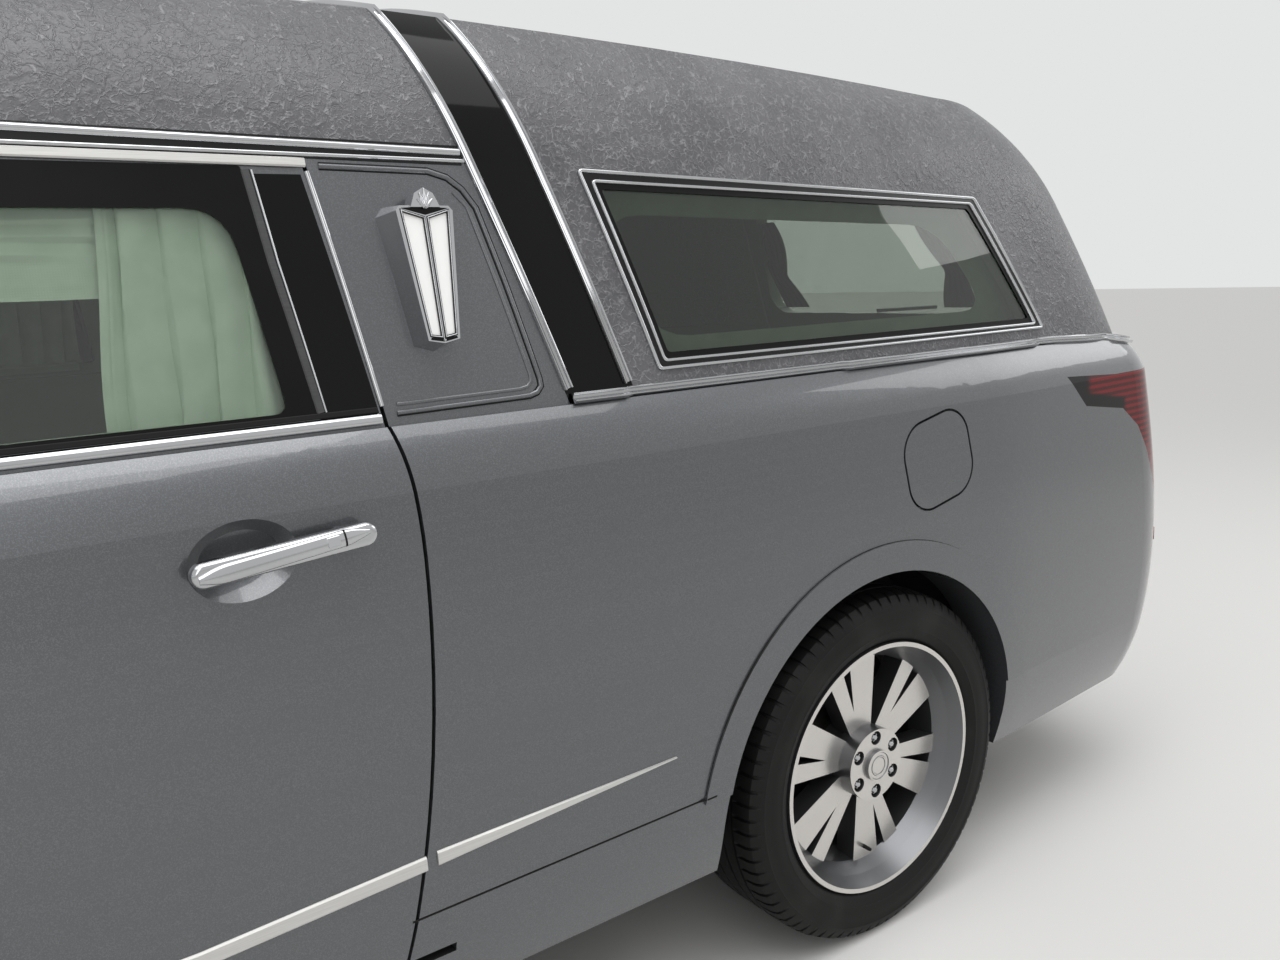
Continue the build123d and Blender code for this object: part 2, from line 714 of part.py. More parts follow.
bumper_block = slab(-SIDE_REACH, SIDE_REACH, REAR_BUMPER_SEAM, TAIL + 60, 0, TAILGATE_SILL)
rear_block = side_prism([
    (DOOR_REAR + PANEL_GAP - 80, DOOR_SILL - 200),
    (DOOR_REAR + PANEL_GAP - 80, BELT + 20),
    (TAIL + 60, BELT + 20),
    (TAIL + 60, DOOR_SILL - 200),
])
with BuildPart() as quarter_panels:
    add(lower_wall.part)
    add(rear_block, mode=Mode.INTERSECT)
    add(doorways_both, mode=Mode.SUBTRACT)
    add(slab(-SIDE_REACH, SIDE_REACH, DOOR_REAR - 200, DOOR_REAR + 8, 0, DOOR_SILL + 10),
        mode=Mode.SUBTRACT)
    add(rear_arch, mode=Mode.SUBTRACT)
    add(mirror(rear_arch, about=Plane.YZ), mode=Mode.SUBTRACT)
    add(bumper_block, mode=Mode.SUBTRACT)
    add(slab(-TAILGATE_HALF_WIDTH - 40, TAILGATE_HALF_WIDTH + 40, REAR_AXLE + 900, TAIL, 0,
             TAILGATE_SILL), mode=Mode.SUBTRACT)
    add(tail_opening, mode=Mode.SUBTRACT)
    add(tail_lamps.part, mode=Mode.SUBTRACT)
    add(arch_lip(REAR_AXLE - 15, REAR_ARCH_RADIUS))
    add(side_solid(fuel_opening_face.sketch) - plan_loft(INNER_BAND, FUEL_RECESS),
        mode=Mode.SUBTRACT)
save(quarter_panels.part, "quarter_panels")

with BuildPart() as fuel_door:
    add(lower_outer.part)
    add(plan_loft(INNER_BAND, FUEL_DOOR_THICKNESS), mode=Mode.SUBTRACT)
    add(side_solid(fuel_face.sketch), mode=Mode.INTERSECT)
save(fuel_door.part, "fuel_door")

with BuildPart() as rear_bumper:
    add(lower_wall.part)
    add(slab(-SIDE_REACH, SIDE_REACH, REAR_BUMPER_SEAM + PANEL_GAP, TAIL + 60, 0,
             TAILGATE_SILL - TAILGATE_GAP), mode=Mode.INTERSECT)
save(rear_bumper.part, "rear_bumper")

tailgate_block = tailgate_volume()
TAIL_WINDOW = (BELT + 45, BELT + 372, 450, 330)
with BuildPart() as tail_window:
    with BuildSketch(Plane.XZ.offset(-TAIL - 60)):
        with BuildLine():
            low, high, wide, narrow = TAIL_WINDOW
            Polyline((wide, low), (narrow, high), (-narrow, high), (-wide, low), close=True)
        make_face()
        fillet(vertices(), 50)
    extrude(amount=1000)

with BuildPart() as loading_door:
    add(lower_wall.part)
    add(rear_upper)
    add(tailgate_block, mode=Mode.INTERSECT)
    add(tail_window.part, mode=Mode.SUBTRACT)
save(loading_door.part, "loading_door")

with BuildPart() as loading_door_glass:
    add(rear_pane)
    add(tail_window.part, mode=Mode.INTERSECT)
save(loading_door_glass.part, "loading_door_glass")

# Front of the body
with BuildSketch() as front_arch_face:
    with Locations((FRONT_AXLE, ARCH_HEIGHT)):
        Circle(FRONT_ARCH_RADIUS)
    with Locations((FRONT_AXLE, ARCH_HEIGHT - 200)):
        Rectangle(2 * FRONT_ARCH_RADIUS, 400)
front_arch = side_solid(front_arch_face.sketch)
HOOD_REAR = DOOR_FRONT - 86
HOOD_INSET = LOWER_WALL + PANEL_GAP
HOOD_NOSE_GAP = 12
with BuildPart() as hood_plan:
    add(plan_loft(INNER_BAND, HOOD_INSET))
    add(plan_loft([INNER_BAND[-1], (BELT + 150, *INNER_BAND[-1][1:])], HOOD_INSET))
hood_span = slab(-SIDE_REACH, SIDE_REACH, NOSE, HOOD_REAR, BODY_BOTTOM + 300, BELT + 140)

with BuildPart() as hood:
    add(hood_volume())
    add(hood_volume(HOOD_THICKNESS), mode=Mode.SUBTRACT)
    add(hood_plan.part, mode=Mode.INTERSECT)
    add(hood_plan.part.moved(Location((0, HOOD_NOSE_GAP, 0))), mode=Mode.INTERSECT)
    add(hood_span, mode=Mode.INTERSECT)
save(hood.part, "hood")

with BuildPart() as headlamp_cut:
    with BuildSketch(Plane.XZ.offset(-FRONT_BUMPER_SEAM)):
        with BuildLine():
            Polyline((520, 760), (SIDE_REACH, 800), (SIDE_REACH, 905), (540, 850), close=True)
        make_face()
    extrude(amount=700)
GRILLE_FOOT, GRILLE_WAIST, GRILLE_TOP = 450, 640, 880
GRILLE_HALF_WIDTHS = {GRILLE_FOOT: 430, GRILLE_WAIST: 520, GRILLE_TOP: 470}
GRILLE = [(x, z) for z, x in GRILLE_HALF_WIDTHS.items()]
GRILLE += [(-x, z) for x, z in reversed(GRILLE)]
with BuildPart() as grille_cut:
    with BuildSketch(Plane.XZ.offset(-FRONT_BUMPER_SEAM + 100)):
        with BuildLine():
            Polyline(*GRILLE, close=True)
        make_face()
        fillet(vertices(), 30)
    extrude(amount=900)

nose_block = slab(-SIDE_REACH, SIDE_REACH, NOSE - 60, FRONT_BUMPER_SEAM - PANEL_GAP, 0, 1400)
with BuildPart() as headlamps:
    add(front_wall.part)
    add(headlamp_cut.part, mode=Mode.INTERSECT)
    add(nose_block, mode=Mode.INTERSECT)
    mirror(about=Plane.YZ)
save(headlamps.part, "headlamps")

with BuildPart() as front_bumper:
    add(front_wall.part)
    add(nose_block, mode=Mode.INTERSECT)
    add(headlamps.part, mode=Mode.SUBTRACT)
    add(grille_cut.part, mode=Mode.SUBTRACT)
save(front_bumper.part, "front_bumper")

GRILLE_BARS = 9
GRILLE_DEPTH = 46
GRILLE_BORDER = 32
with BuildPart() as grille:
    add(lower_outer.part)
    add(plan_loft(INNER_BAND, GRILLE_DEPTH), mode=Mode.SUBTRACT)
    add(nose_block, mode=Mode.INTERSECT)
    add(grille_cut.part, mode=Mode.INTERSECT)
    pitch = (GRILLE_TOP - GRILLE_FOOT - 1.25 * GRILLE_BORDER) / GRILLE_BARS
    for bar in range(GRILLE_BARS):
        height = GRILLE_FOOT + GRILLE_BORDER + bar * pitch
        half = GRILLE_HALF_WIDTHS[GRILLE_FOOT] + 8 - abs(height - GRILLE_WAIST) * 0.2
        with BuildSketch(Plane.XY.offset(height)):
            with Locations((0, NOSE + 100)):
                Rectangle(2 * half, 400)
        extrude(amount=pitch * 0.55, mode=Mode.SUBTRACT)
save(grille.part, "grille")

fender_block = slab(-SIDE_REACH, SIDE_REACH, FRONT_BUMPER_SEAM, DOOR_FRONT - PANEL_GAP, 0, 1400)
with BuildPart() as front_fenders:
    add(front_wall.part)
    add(fender_block, mode=Mode.INTERSECT)
    add(front_arch, mode=Mode.SUBTRACT)
    add(mirror(front_arch, about=Plane.YZ), mode=Mode.SUBTRACT)
    add(arch_lip(FRONT_AXLE, FRONT_ARCH_RADIUS))
save(front_fenders.part, "front_fenders")

with BuildPart() as cowl:
    add(hood_volume(4))
    add(hood_volume(HOOD_THICKNESS), mode=Mode.SUBTRACT)
    add(hood_plan.part, mode=Mode.INTERSECT)
    add(slab(-SIDE_REACH, SIDE_REACH, HOOD_REAR + PANEL_GAP, DOOR_FRONT - 15, BELT - 60,
             BELT + 140), mode=Mode.INTERSECT)
    add(screen_volume(-FIT), mode=Mode.SUBTRACT)
save(cowl.part, "cowl")

# Floor with its wheel houses and firewall
TUB_WALL = 12
REAR_TUB = (REAR_AXLE - 15, REAR_ARCH_RADIUS + 18, HALF_TRACK - TYRE_HALF_WIDTH - 45)
FRONT_TUB = (FRONT_AXLE, FRONT_ARCH_RADIUS + 30, HALF_TRACK - 380)
KICK_UP_HALF = 280
KICK_UP_TOP = 600
with BuildPart() as floor_pan:
    add(lower_inner)
    add(slab(-SIDE_REACH, SIDE_REACH, FIREWALL - 20, TAIL, UNDERSIDE,
             FLOOR + FLOOR_THICKNESS / 2), mode=Mode.INTERSECT)
    firewall = lower_inner & slab(-SIDE_REACH, SIDE_REACH, FIREWALL - 20, FIREWALL,
                                  UNDERSIDE, BELT)
    add(firewall & hood_volume(HOOD_THICKNESS))
    for centre, radius, inside_x in (REAR_TUB, FRONT_TUB):
        outer_x = HALF_WIDTH - LOWER_WALL - 10
        drum = cross_cylinder(centre, ARCH_HEIGHT, radius + TUB_WALL, inside_x - TUB_WALL, outer_x)
        top = drum & slab(0, SIDE_REACH, NOSE, TAIL, UNDERSIDE, BELT)
        top = top & lower_inner
        add(top)
        mirror(top, about=Plane.YZ)
    apron = slab(FRONT_TUB[2] - TUB_WALL, FRONT_TUB[2], FRONT_BUMPER_SEAM, FIREWALL,
                 UNDERSIDE, ARCH_HEIGHT + FRONT_TUB[1])
    add(apron)
    mirror(apron, about=Plane.YZ)
    for centre, radius, inside_x in (REAR_TUB, FRONT_TUB):
        hollow = cross_cylinder(centre, ARCH_HEIGHT, radius, inside_x, SIDE_REACH)
        below = slab(inside_x, SIDE_REACH, centre - radius, centre + radius, 0, ARCH_HEIGHT)
        for void in (hollow, below):
            add(void, mode=Mode.SUBTRACT)
            add(mirror(void, about=Plane.YZ), mode=Mode.SUBTRACT)
    front_edge, rear_edge = REAR_AXLE - KICK_UP_HALF, REAR_AXLE + KICK_UP_HALF
    tub_face = REAR_TUB[2]
    add(slab(-tub_face, tub_face, front_edge, rear_edge, 0, KICK_UP_TOP - FLOOR_THICKNESS / 2),
        mode=Mode.SUBTRACT)
    add(slab(-tub_face, tub_face, front_edge, rear_edge, KICK_UP_TOP - FLOOR_THICKNESS / 2,
             KICK_UP_TOP))
    for y in (front_edge, rear_edge - FLOOR_THICKNESS / 2):
        add(slab(-tub_face, tub_face, y, y + FLOOR_THICKNESS / 2, UNDERSIDE,
                 KICK_UP_TOP))
save(floor_pan.part, "floor_pan")

# Load space: deck on its side cabinets, with rollers and pin plates
DECK_SPAN = (DECK_FRONT, TAIL - 175)
DECK_THICKNESS = 30
ROLLER_RADIUS = 22
ROLLER_Z = DECK - 4
ROLLER_CLEARANCE = 6
SPINDLE_RADIUS = 6
ROLLER_HALF_LENGTH = 190
ROLLER_STATIONS = [DECK_FRONT + 150 + step * 420 for step in range(6)]
PIN_PLATE = (400, 70, 12)
PIN_PLATE_STATIONS = [DECK_FRONT + 360, DECK_FRONT + 2040]
PIN_HOLE_RADIUS = 9
PIN_HOLE_SPACING = 300
cabin_floor = FLOOR + FLOOR_THICKNESS / 2
with BuildPart() as casket_deck:
    add(slab(-DECK_HALF_WIDTH, DECK_HALF_WIDTH, *DECK_SPAN, DECK - DECK_THICKNESS, DECK))
    for x0, x1 in ((-DECK_HALF_WIDTH, 20 - DECK_HALF_WIDTH), (DECK_HALF_WIDTH - 20, DECK_HALF_WIDTH)):
        add(slab(x0, x1, *DECK_SPAN, cabin_floor, DECK))
    add(slab(-DECK_HALF_WIDTH, DECK_HALF_WIDTH, DECK_FRONT, DECK_FRONT + 20, cabin_floor, DECK))
    add(slab(-DECK_HALF_WIDTH, DECK_HALF_WIDTH, REAR_AXLE - KICK_UP_HALF,
             REAR_AXLE + KICK_UP_HALF, cabin_floor, KICK_UP_TOP), mode=Mode.SUBTRACT)
    for y in ROLLER_STATIONS:
        half_length, half_width = (size + ROLLER_CLEARANCE for size in (ROLLER_HALF_LENGTH, ROLLER_RADIUS))
        add(slab(-half_length, half_length, y - half_width, y + half_width, DECK - DECK_THICKNESS,
                 DECK), mode=Mode.SUBTRACT)
    for y in PIN_PLATE_STATIONS:
        add(slab(-PIN_PLATE[0], PIN_PLATE[0], y - PIN_PLATE[1] / 2, y + PIN_PLATE[1] / 2,
                 DECK, DECK + PIN_PLATE[2]))
        with Locations(Plane(origin=(0, y, DECK + PIN_PLATE[2]))):
            with Locations((-PIN_HOLE_SPACING / 2, 0), (PIN_HOLE_SPACING / 2, 0)):
                Hole(PIN_HOLE_RADIUS, depth=PIN_PLATE[2] + 20)
save(casket_deck.part, "casket_deck")

with BuildPart() as deck_rollers:
    for y in ROLLER_STATIONS:
        add(cross_cylinder(y, ROLLER_Z, ROLLER_RADIUS, -ROLLER_HALF_LENGTH, ROLLER_HALF_LENGTH))
        spindle_end = ROLLER_HALF_LENGTH + ROLLER_CLEARANCE
        add(cross_cylinder(y, ROLLER_Z, SPINDLE_RADIUS, -spindle_end, spindle_end))
save(deck_rollers.part, "deck_rollers")

# Front cabin
SEAT_Y = DOOR_FRONT + 560
SEAT_X = 380
SEAT_HALF_WIDTH = 240
SEAT_BASE_HALF_WIDTH = 180
SEAT_BASE_HEIGHT = 70
with BuildPart() as front_seats:
    with BuildSketch(Plane.YZ.offset(SEAT_X - SEAT_HALF_WIDTH)):
        with BuildLine():
            Polyline(
                (SEAT_Y, cabin_floor + 60), (SEAT_Y, cabin_floor + 270),
                (SEAT_Y + 440, cabin_floor + 230), (SEAT_Y + 590, cabin_floor + 830),
                (SEAT_Y + 620, cabin_floor + 1000), (SEAT_Y + 720, cabin_floor + 980),
                (SEAT_Y + 700, cabin_floor + 780), (SEAT_Y + 560, cabin_floor + 60), close=True,
            )
        make_face()
        fillet(vertices(), 25)
    extrude(amount=2 * SEAT_HALF_WIDTH)
    add(slab(SEAT_X - SEAT_BASE_HALF_WIDTH, SEAT_X + SEAT_BASE_HALF_WIDTH, SEAT_Y + 40, SEAT_Y + 520,
             cabin_floor, cabin_floor + SEAT_BASE_HEIGHT))
    mirror(about=Plane.YZ)
save(front_seats.part, "front_seats")

DASH_HALF_WIDTH = 730
WHEEL_TILT = 25
WHEEL_RADII = (185, 160)
WHEEL_BOSS_RADIUS = 62
WHEEL_SPOKE_WIDTH = 34
WHEEL_THICKNESS = 24
COLUMN_RADIUS = 32
COLUMN_LENGTH = 230
COLUMN_END = (SEAT_X, SEAT_Y - 160, cabin_floor + 560)
with BuildPart() as dashboard:
    with BuildSketch(Plane.YZ):
        with BuildLine():
            Polyline(
                (FIREWALL, cabin_floor + 330), (FIREWALL, cabin_floor + 700),
                (FIREWALL + 120, cabin_floor + 790), (FIREWALL + 420, cabin_floor + 760),
                (FIREWALL + 460, cabin_floor + 640), (FIREWALL + 330, cabin_floor + 330), close=True,
            )
        make_face()
    extrude(amount=DASH_HALF_WIDTH, both=True)
    column = Plane(origin=COLUMN_END, z_dir=(0, cos(radians(WHEEL_TILT)), sin(radians(WHEEL_TILT))))
    with BuildSketch(column.offset(-COLUMN_LENGTH)):
        Circle(COLUMN_RADIUS)
    extrude(amount=COLUMN_LENGTH + FIT)
    with BuildSketch(column):
        Circle(WHEEL_RADII[0])
        Circle(WHEEL_RADII[1], mode=Mode.SUBTRACT)
        Circle(WHEEL_BOSS_RADIUS)
        Rectangle(WHEEL_RADII[0] + WHEEL_RADII[1], WHEEL_SPOKE_WIDTH)
    extrude(amount=WHEEL_THICKNESS)
save(dashboard.part, "dashboard")

# Curtains of the rear doors' windows, hung from the roof just inside the glass
CURTAIN_INSET = UPPER_WALL + 14
CURTAIN_THICKNESS = 14
with BuildPart() as curtains:
    add(front_cabin(CURTAIN_INSET))
    add(front_cabin(CURTAIN_INSET + CURTAIN_THICKNESS), mode=Mode.SUBTRACT)
    add(slab(0, SIDE_REACH, DOOR_SPLIT + 90, DOOR_REAR - 150, BELT + 20, BELT + 372),
        mode=Mode.INTERSECT)
    mirror(about=Plane.YZ)
save(curtains.part, "curtains")

# Power unit, suspension and exhaust
SUBFRAME_Z = 230
CROSS_MEMBER_HEIGHT = 70
ENGINE_HALF_WIDTH = 330
ENGINE_BELOW_HOOD = 150
RAIL_WIDTH = 60
RAIL_X = 340
ARM_THICKNESS = 32
ARM_SPAN = 250
with BuildPart() as engine:
    add(slab(-ENGINE_HALF_WIDTH, ENGINE_HALF_WIDTH, FRONT_AXLE - 330, FRONT_AXLE + 260,
             SUBFRAME_Z + CROSS_MEMBER_HEIGHT, HOOD_SECTIONS[2][1] - ENGINE_BELOW_HOOD))
save(engine.part, "engine")

with BuildPart() as front_subframe:
    rail_out = RAIL_X + RAIL_WIDTH
    for x in (-rail_out, RAIL_X):
        add(slab(x, x + RAIL_WIDTH, FRONT_BUMPER_SEAM - 150, FIREWALL + 300, SUBFRAME_Z + 20,
                 UNDERSIDE))
    for y in (FRONT_AXLE - ARM_SPAN, FRONT_AXLE + ARM_SPAN - 50):
        add(slab(-rail_out, rail_out, y, y + RAIL_WIDTH, SUBFRAME_Z, SUBFRAME_Z + CROSS_MEMBER_HEIGHT))
    for side in (1, -1):
        root, tip = side * (rail_out - 10), side * (KINGPIN_HALF_TRACK - 70)
        with BuildSketch(Plane.XY.offset(SUBFRAME_Z)):
            with BuildLine():
                Polyline((root, FRONT_AXLE - ARM_SPAN + 10), (tip, FRONT_AXLE - 30),
                         (tip, FRONT_AXLE + 30), (root, FRONT_AXLE + ARM_SPAN), close=True)
            make_face()
        extrude(amount=ARM_THICKNESS)
save(front_subframe.part, "front_subframe")

HUB_FACE = HALF_TRACK - 42
KNUCKLE_X = KINGPIN_HALF_TRACK - 40
with BuildPart() as knuckle:
    add(slab(KNUCKLE_X - 26, KNUCKLE_X + 10, FRONT_AXLE - 48, FRONT_AXLE + 48, SUBFRAME_Z + 40,
             TYRE_RADIUS + 130))
    add(cross_cylinder(FRONT_AXLE, TYRE_RADIUS, 52, KNUCKLE_X - 30, HUB_FACE - FIT))
    add(slab(KNUCKLE_X - 26, HUB_FACE + 26, FRONT_AXLE - DISC_RADIUS - 34, FRONT_AXLE - 105,
             TYRE_RADIUS - 75, TYRE_RADIUS + 75))
    add(slab(KNUCKLE_X - 26, KNUCKLE_X, FRONT_AXLE - 120, FRONT_AXLE, TYRE_RADIUS - 30,
             TYRE_RADIUS + 30))
    add(slab(HUB_FACE - 20, HUB_FACE + 8, FRONT_AXLE - DISC_RADIUS - 5, FRONT_AXLE + DISC_RADIUS,
             TYRE_RADIUS - DISC_RADIUS - 8, TYRE_RADIUS + DISC_RADIUS + 8), mode=Mode.SUBTRACT)
save(knuckle.part, "knuckle_left")
save(mirror(knuckle.part, about=Plane.YZ), "knuckle_right")

# Wheels, modelled on the Z axis with their outer face up, then turned onto the axle
RIM_PROFILE = [
    (RIM_RADIUS, RIM_HALF_WIDTH), (RIM_RADIUS, 98), (BEAD_RADIUS, 94), (BEAD_RADIUS, 66),
    (238, 44), (238, -56), (BEAD_RADIUS, -76), (BEAD_RADIUS, -94), (RIM_RADIUS, -98),
    (RIM_RADIUS, -RIM_HALF_WIDTH), (262, -RIM_HALF_WIDTH), (246, -90), (228, -58), (228, 48),
    (246, 78), (262, RIM_HALF_WIDTH),
]
TYRE_PROFILE = [
    (BEAD_RADIUS + FIT, -92), (BEAD_RADIUS + FIT, 92), (RIM_RADIUS + 2, 97), (298, 114),
    (325, TYRE_HALF_WIDTH), (352, 112), (370, 99), (TYRE_RADIUS, 82), (TYRE_RADIUS, -82),
    (370, -99), (352, -112), (325, -TYRE_HALF_WIDTH), (298, -114), (RIM_RADIUS + 2, -97),
]
HUB_RADIUS = 78
HUB_BACK = 34
CAP_RADIUS = 34
LUG_COUNT = 6
LUG_CIRCLE = 60
LUG_POCKET = 15
LUG_POCKET_DEPTH = 26
LUG_NUT_RADIUS = 10
LUG_NUT_HEIGHT = 20
CAP_HEIGHT = 7
# Spokes of one pair: angle from the pair's start, half width at the hub and at the rim
SPOKES = [(1, 22, 40), (22, 13, 23)]
SPOKE_RADII = (60, 252)
SPOKE_BACK = 52
SPOKE_DRAFT = 7


def revolved(profile):
    """Ring turned about the Z axis from its (radius, height) profile."""
    with BuildPart() as ring:
        with BuildSketch(Plane.XZ):
            with BuildLine():
                Polyline(*profile, close=True)
            make_face()
        revolve(axis=Axis.Z)
    return ring.part


with BuildPart() as wheel_disc:
    with BuildSketch(Plane.XY.offset(HUB_BACK)):
        Circle(HUB_RADIUS)
    extrude(amount=LUG_PLANE - HUB_BACK)
    for pair in range(SPOKE_PAIRS):
        for offset_angle, hub_half, rim_half in SPOKES:
            angle = pair * 360 / SPOKE_PAIRS + offset_angle
            with BuildSketch(Plane.XY.offset(SPOKE_BACK).rotated((0, 0, angle))):
                with BuildLine():
                    Polyline((SPOKE_RADII[0], hub_half), (SPOKE_RADII[1], rim_half),
                             (SPOKE_RADII[1], -rim_half), (SPOKE_RADII[0], -hub_half), close=True)
                make_face()
            extrude(amount=RIM_HALF_WIDTH - SPOKE_BACK, taper=SPOKE_DRAFT)
    with BuildSketch(Plane.XZ):
        with BuildLine():
            Polyline((0, LUG_PLANE), (HUB_RADIUS + 10, LUG_PLANE + 2), (252, 103), (270, 140),
                     (0, 140), close=True)
        make_face()
    revolve(axis=Axis.Z, mode=Mode.SUBTRACT)
    with BuildSketch(Plane.XY.offset(LUG_PLANE)):
        Circle(CAP_RADIUS)
    extrude(amount=CAP_HEIGHT)
    with BuildSketch(Plane.XY.offset(LUG_PLANE)):
        with PolarLocations(LUG_CIRCLE, LUG_COUNT):
            Circle(LUG_POCKET)
    extrude(amount=-LUG_POCKET_DEPTH, mode=Mode.SUBTRACT)
    with BuildSketch(Plane.XY.offset(LUG_PLANE - LUG_POCKET_DEPTH)):
        with PolarLocations(LUG_CIRCLE, LUG_COUNT):
            RegularPolygon(LUG_NUT_RADIUS, 6)
    extrude(amount=LUG_NUT_HEIGHT)

HUB_DEPTH = HALF_TRACK - HUB_FACE
HUB_CORE_RADIUS = 70
DISC_OVERHANG = 14
DISC_THICKNESS = 22
with BuildPart() as wheel:
    add(revolved(RIM_PROFILE))
    add(wheel_disc.part)
    with BuildSketch(Plane.XY.offset(-HUB_DEPTH)):
        Circle(HUB_CORE_RADIUS)
    extrude(amount=HUB_DEPTH + HUB_BACK + FIT)
    with BuildSketch(Plane.XY.offset(-HUB_DEPTH - DISC_OVERHANG)):
        Circle(DISC_RADIUS)
    extrude(amount=DISC_THICKNESS)
    with BuildSketch(Plane.XY.offset(-HUB_DEPTH - DISC_OVERHANG)):
        Circle(HUB_CORE_RADIUS - 10)
    extrude(amount=DISC_OVERHANG, mode=Mode.SUBTRACT)
tyre = revolved(TYRE_PROFILE)

for row, axle in (("front", FRONT_AXLE), ("rear", REAR_AXLE)):
    for part, name in ((wheel.part, "wheel"), (tyre, "tyre")):
        with BuildPart() as left:
            with Locations((HALF_TRACK, axle, TYRE_RADIUS)):
                add(part, rotation=(0, 90, 0))
        save(left.part, f"{row}_{name}_left")
        save(mirror(left.part, about=Plane.YZ), f"{row}_{name}_right")

# Rear axle: beam with its stub shafts, brakes and springs
ARM_Z = 250
with BuildPart() as rear_axle:
    add(cross_cylinder(REAR_AXLE, TYRE_RADIUS, 45, FIT - HUB_FACE, HUB_FACE - FIT))
    for side in (1, -1):
        x0, x1 = sorted((side * 560, side * 620))
        add(slab(x0, x1, REAR_AXLE - 620, REAR_AXLE + 60, ARM_Z, ARM_Z + 60))
        add(slab(x0, x1, REAR_AXLE - 60, REAR_AXLE + 60, ARM_Z, TYRE_RADIUS))
        x0, x1 = sorted((side * (HUB_FACE - 60), side * (HUB_FACE - 24)))
        add(slab(x0, x1, REAR_AXLE + 20, REAR_AXLE + DISC_RADIUS + 25, TYRE_RADIUS - 60,
                 TYRE_RADIUS + 60))
save(rear_axle.part, "rear_axle")

EXHAUST_Z = 245
EXHAUST_X = 150
EXHAUST_RADIUS = 30
EXHAUST_BEND = 150
EXHAUST_START = FRONT_AXLE + 420
MUFFLER_X = 420
MUFFLER_HALF_WIDTH = 140
MUFFLER_HALF_HEIGHT = 70
MUFFLER_SPAN = (REAR_AXLE + 540, REAR_AXLE + 980)
HANGER = (20, 30)
with BuildPart() as exhaust:
    with BuildLine():
        FilletPolyline((EXHAUST_X, EXHAUST_START, EXHAUST_Z),
                       (EXHAUST_X, REAR_AXLE - 500, EXHAUST_Z),
                       (MUFFLER_X, REAR_AXLE - 60, EXHAUST_Z - 60),
                       (MUFFLER_X, REAR_AXLE + 500, EXHAUST_Z),
                       (MUFFLER_X, TAIL - 150, EXHAUST_Z), radius=EXHAUST_BEND)
    with BuildSketch(Plane(origin=(EXHAUST_X, EXHAUST_START, EXHAUST_Z), z_dir=(0, 1, 0))):
        Circle(EXHAUST_RADIUS)
    sweep()
    add(slab(MUFFLER_X - MUFFLER_HALF_WIDTH, MUFFLER_X + MUFFLER_HALF_WIDTH, *MUFFLER_SPAN,
             EXHAUST_Z - MUFFLER_HALF_HEIGHT, EXHAUST_Z + MUFFLER_HALF_HEIGHT))
    for x, y in ((EXHAUST_X, DOOR_FRONT + 150), (EXHAUST_X, DECK_FRONT), (MUFFLER_X, REAR_AXLE + 760)):
        add(slab(x - HANGER[0] / 2, x + HANGER[0] / 2, y, y + HANGER[1], EXHAUST_Z, UNDERSIDE))
save(exhaust.part, "exhaust")

TANK_OUTSIDE = 540
TANK_DEPTH = 135
TANK_CORNER, TANK_EDGE = 60, 30
with BuildPart() as fuel_tank:
    add(slab(-TANK_OUTSIDE, EXHAUST_X - 90, DECK_FRONT - 380, DECK_FRONT + 500,
             UNDERSIDE - TANK_DEPTH, UNDERSIDE))
    fillet(edges().filter_by(Axis.Z), TANK_CORNER)
    fillet(faces().sort_by(Axis.Z)[0].edges(), TANK_EDGE)
save(fuel_tank.part, "fuel_tank")

# Door furniture: bar handles and mirrors
HANDLE_OUT = 26
HANDLE_THICKNESS = 16
HANDLE_WIDTH = 34
HANDLE_FOOT = (28, 22)


def handle(row):
    """Bar handle on two feet, standing off the left door's skin."""
    middle = HANDLE_BACK[row] - HANDLE_LENGTH / 2
    with BuildPart() as bar:
        with BuildSketch(Plane.YZ.offset(SKIN_PLANE + HANDLE_OUT)):
            with Locations((middle, HANDLE_HEIGHT)):
                SlotOverall(HANDLE_LENGTH, HANDLE_WIDTH, rotation=HANDLE_RISE)
        extrude(amount=HANDLE_THICKNESS)
        fillet(faces().sort_by(Axis.X)[-1].edges(), HANDLE_THICKNESS / 2)
        reach = HANDLE_LENGTH / 2 - HANDLE_WIDTH
        with BuildSketch(Plane.YZ.offset(SKIN_PLANE - 10)):
            for step in (-reach, reach):
                with Locations((middle + step, HANDLE_HEIGHT + step * tan(radians(HANDLE_RISE)))):
                    RectangleRounded(*HANDLE_FOOT, 6)
        extrude(amount=HANDLE_OUT + 12)
        add(lower_outer.part, mode=Mode.SUBTRACT)
        add(handle_cup(row), mode=Mode.SUBTRACT)
    return bar.part


MIRROR_SIZE = (230, 150)
MIRROR_DEPTH = 95
for row in ("front", "rear"):
    with BuildPart() as furniture:
        add(handle(row))
        if row == "front":
            with BuildSketch(Plane.XZ.offset(-DOOR_FRONT - 330)):
                with Locations((HALF_WIDTH + 90, BELT + 95)):
                    RectangleRounded(*MIRROR_SIZE, 50)
            extrude(amount=MIRROR_DEPTH, taper=12)
            add(slab(HALF_WIDTH - 130, HALF_WIDTH, DOOR_FRONT + 250, DOOR_FRONT + 300, BELT + 32,
                     BELT + 62))
            add(front_outer, mode=Mode.SUBTRACT)
    name = f"{row}_door_handle"
    save(furniture.part, f"{name}_left")
    save(mirror(furniture.part, about=Plane.YZ), f"{name}_right")

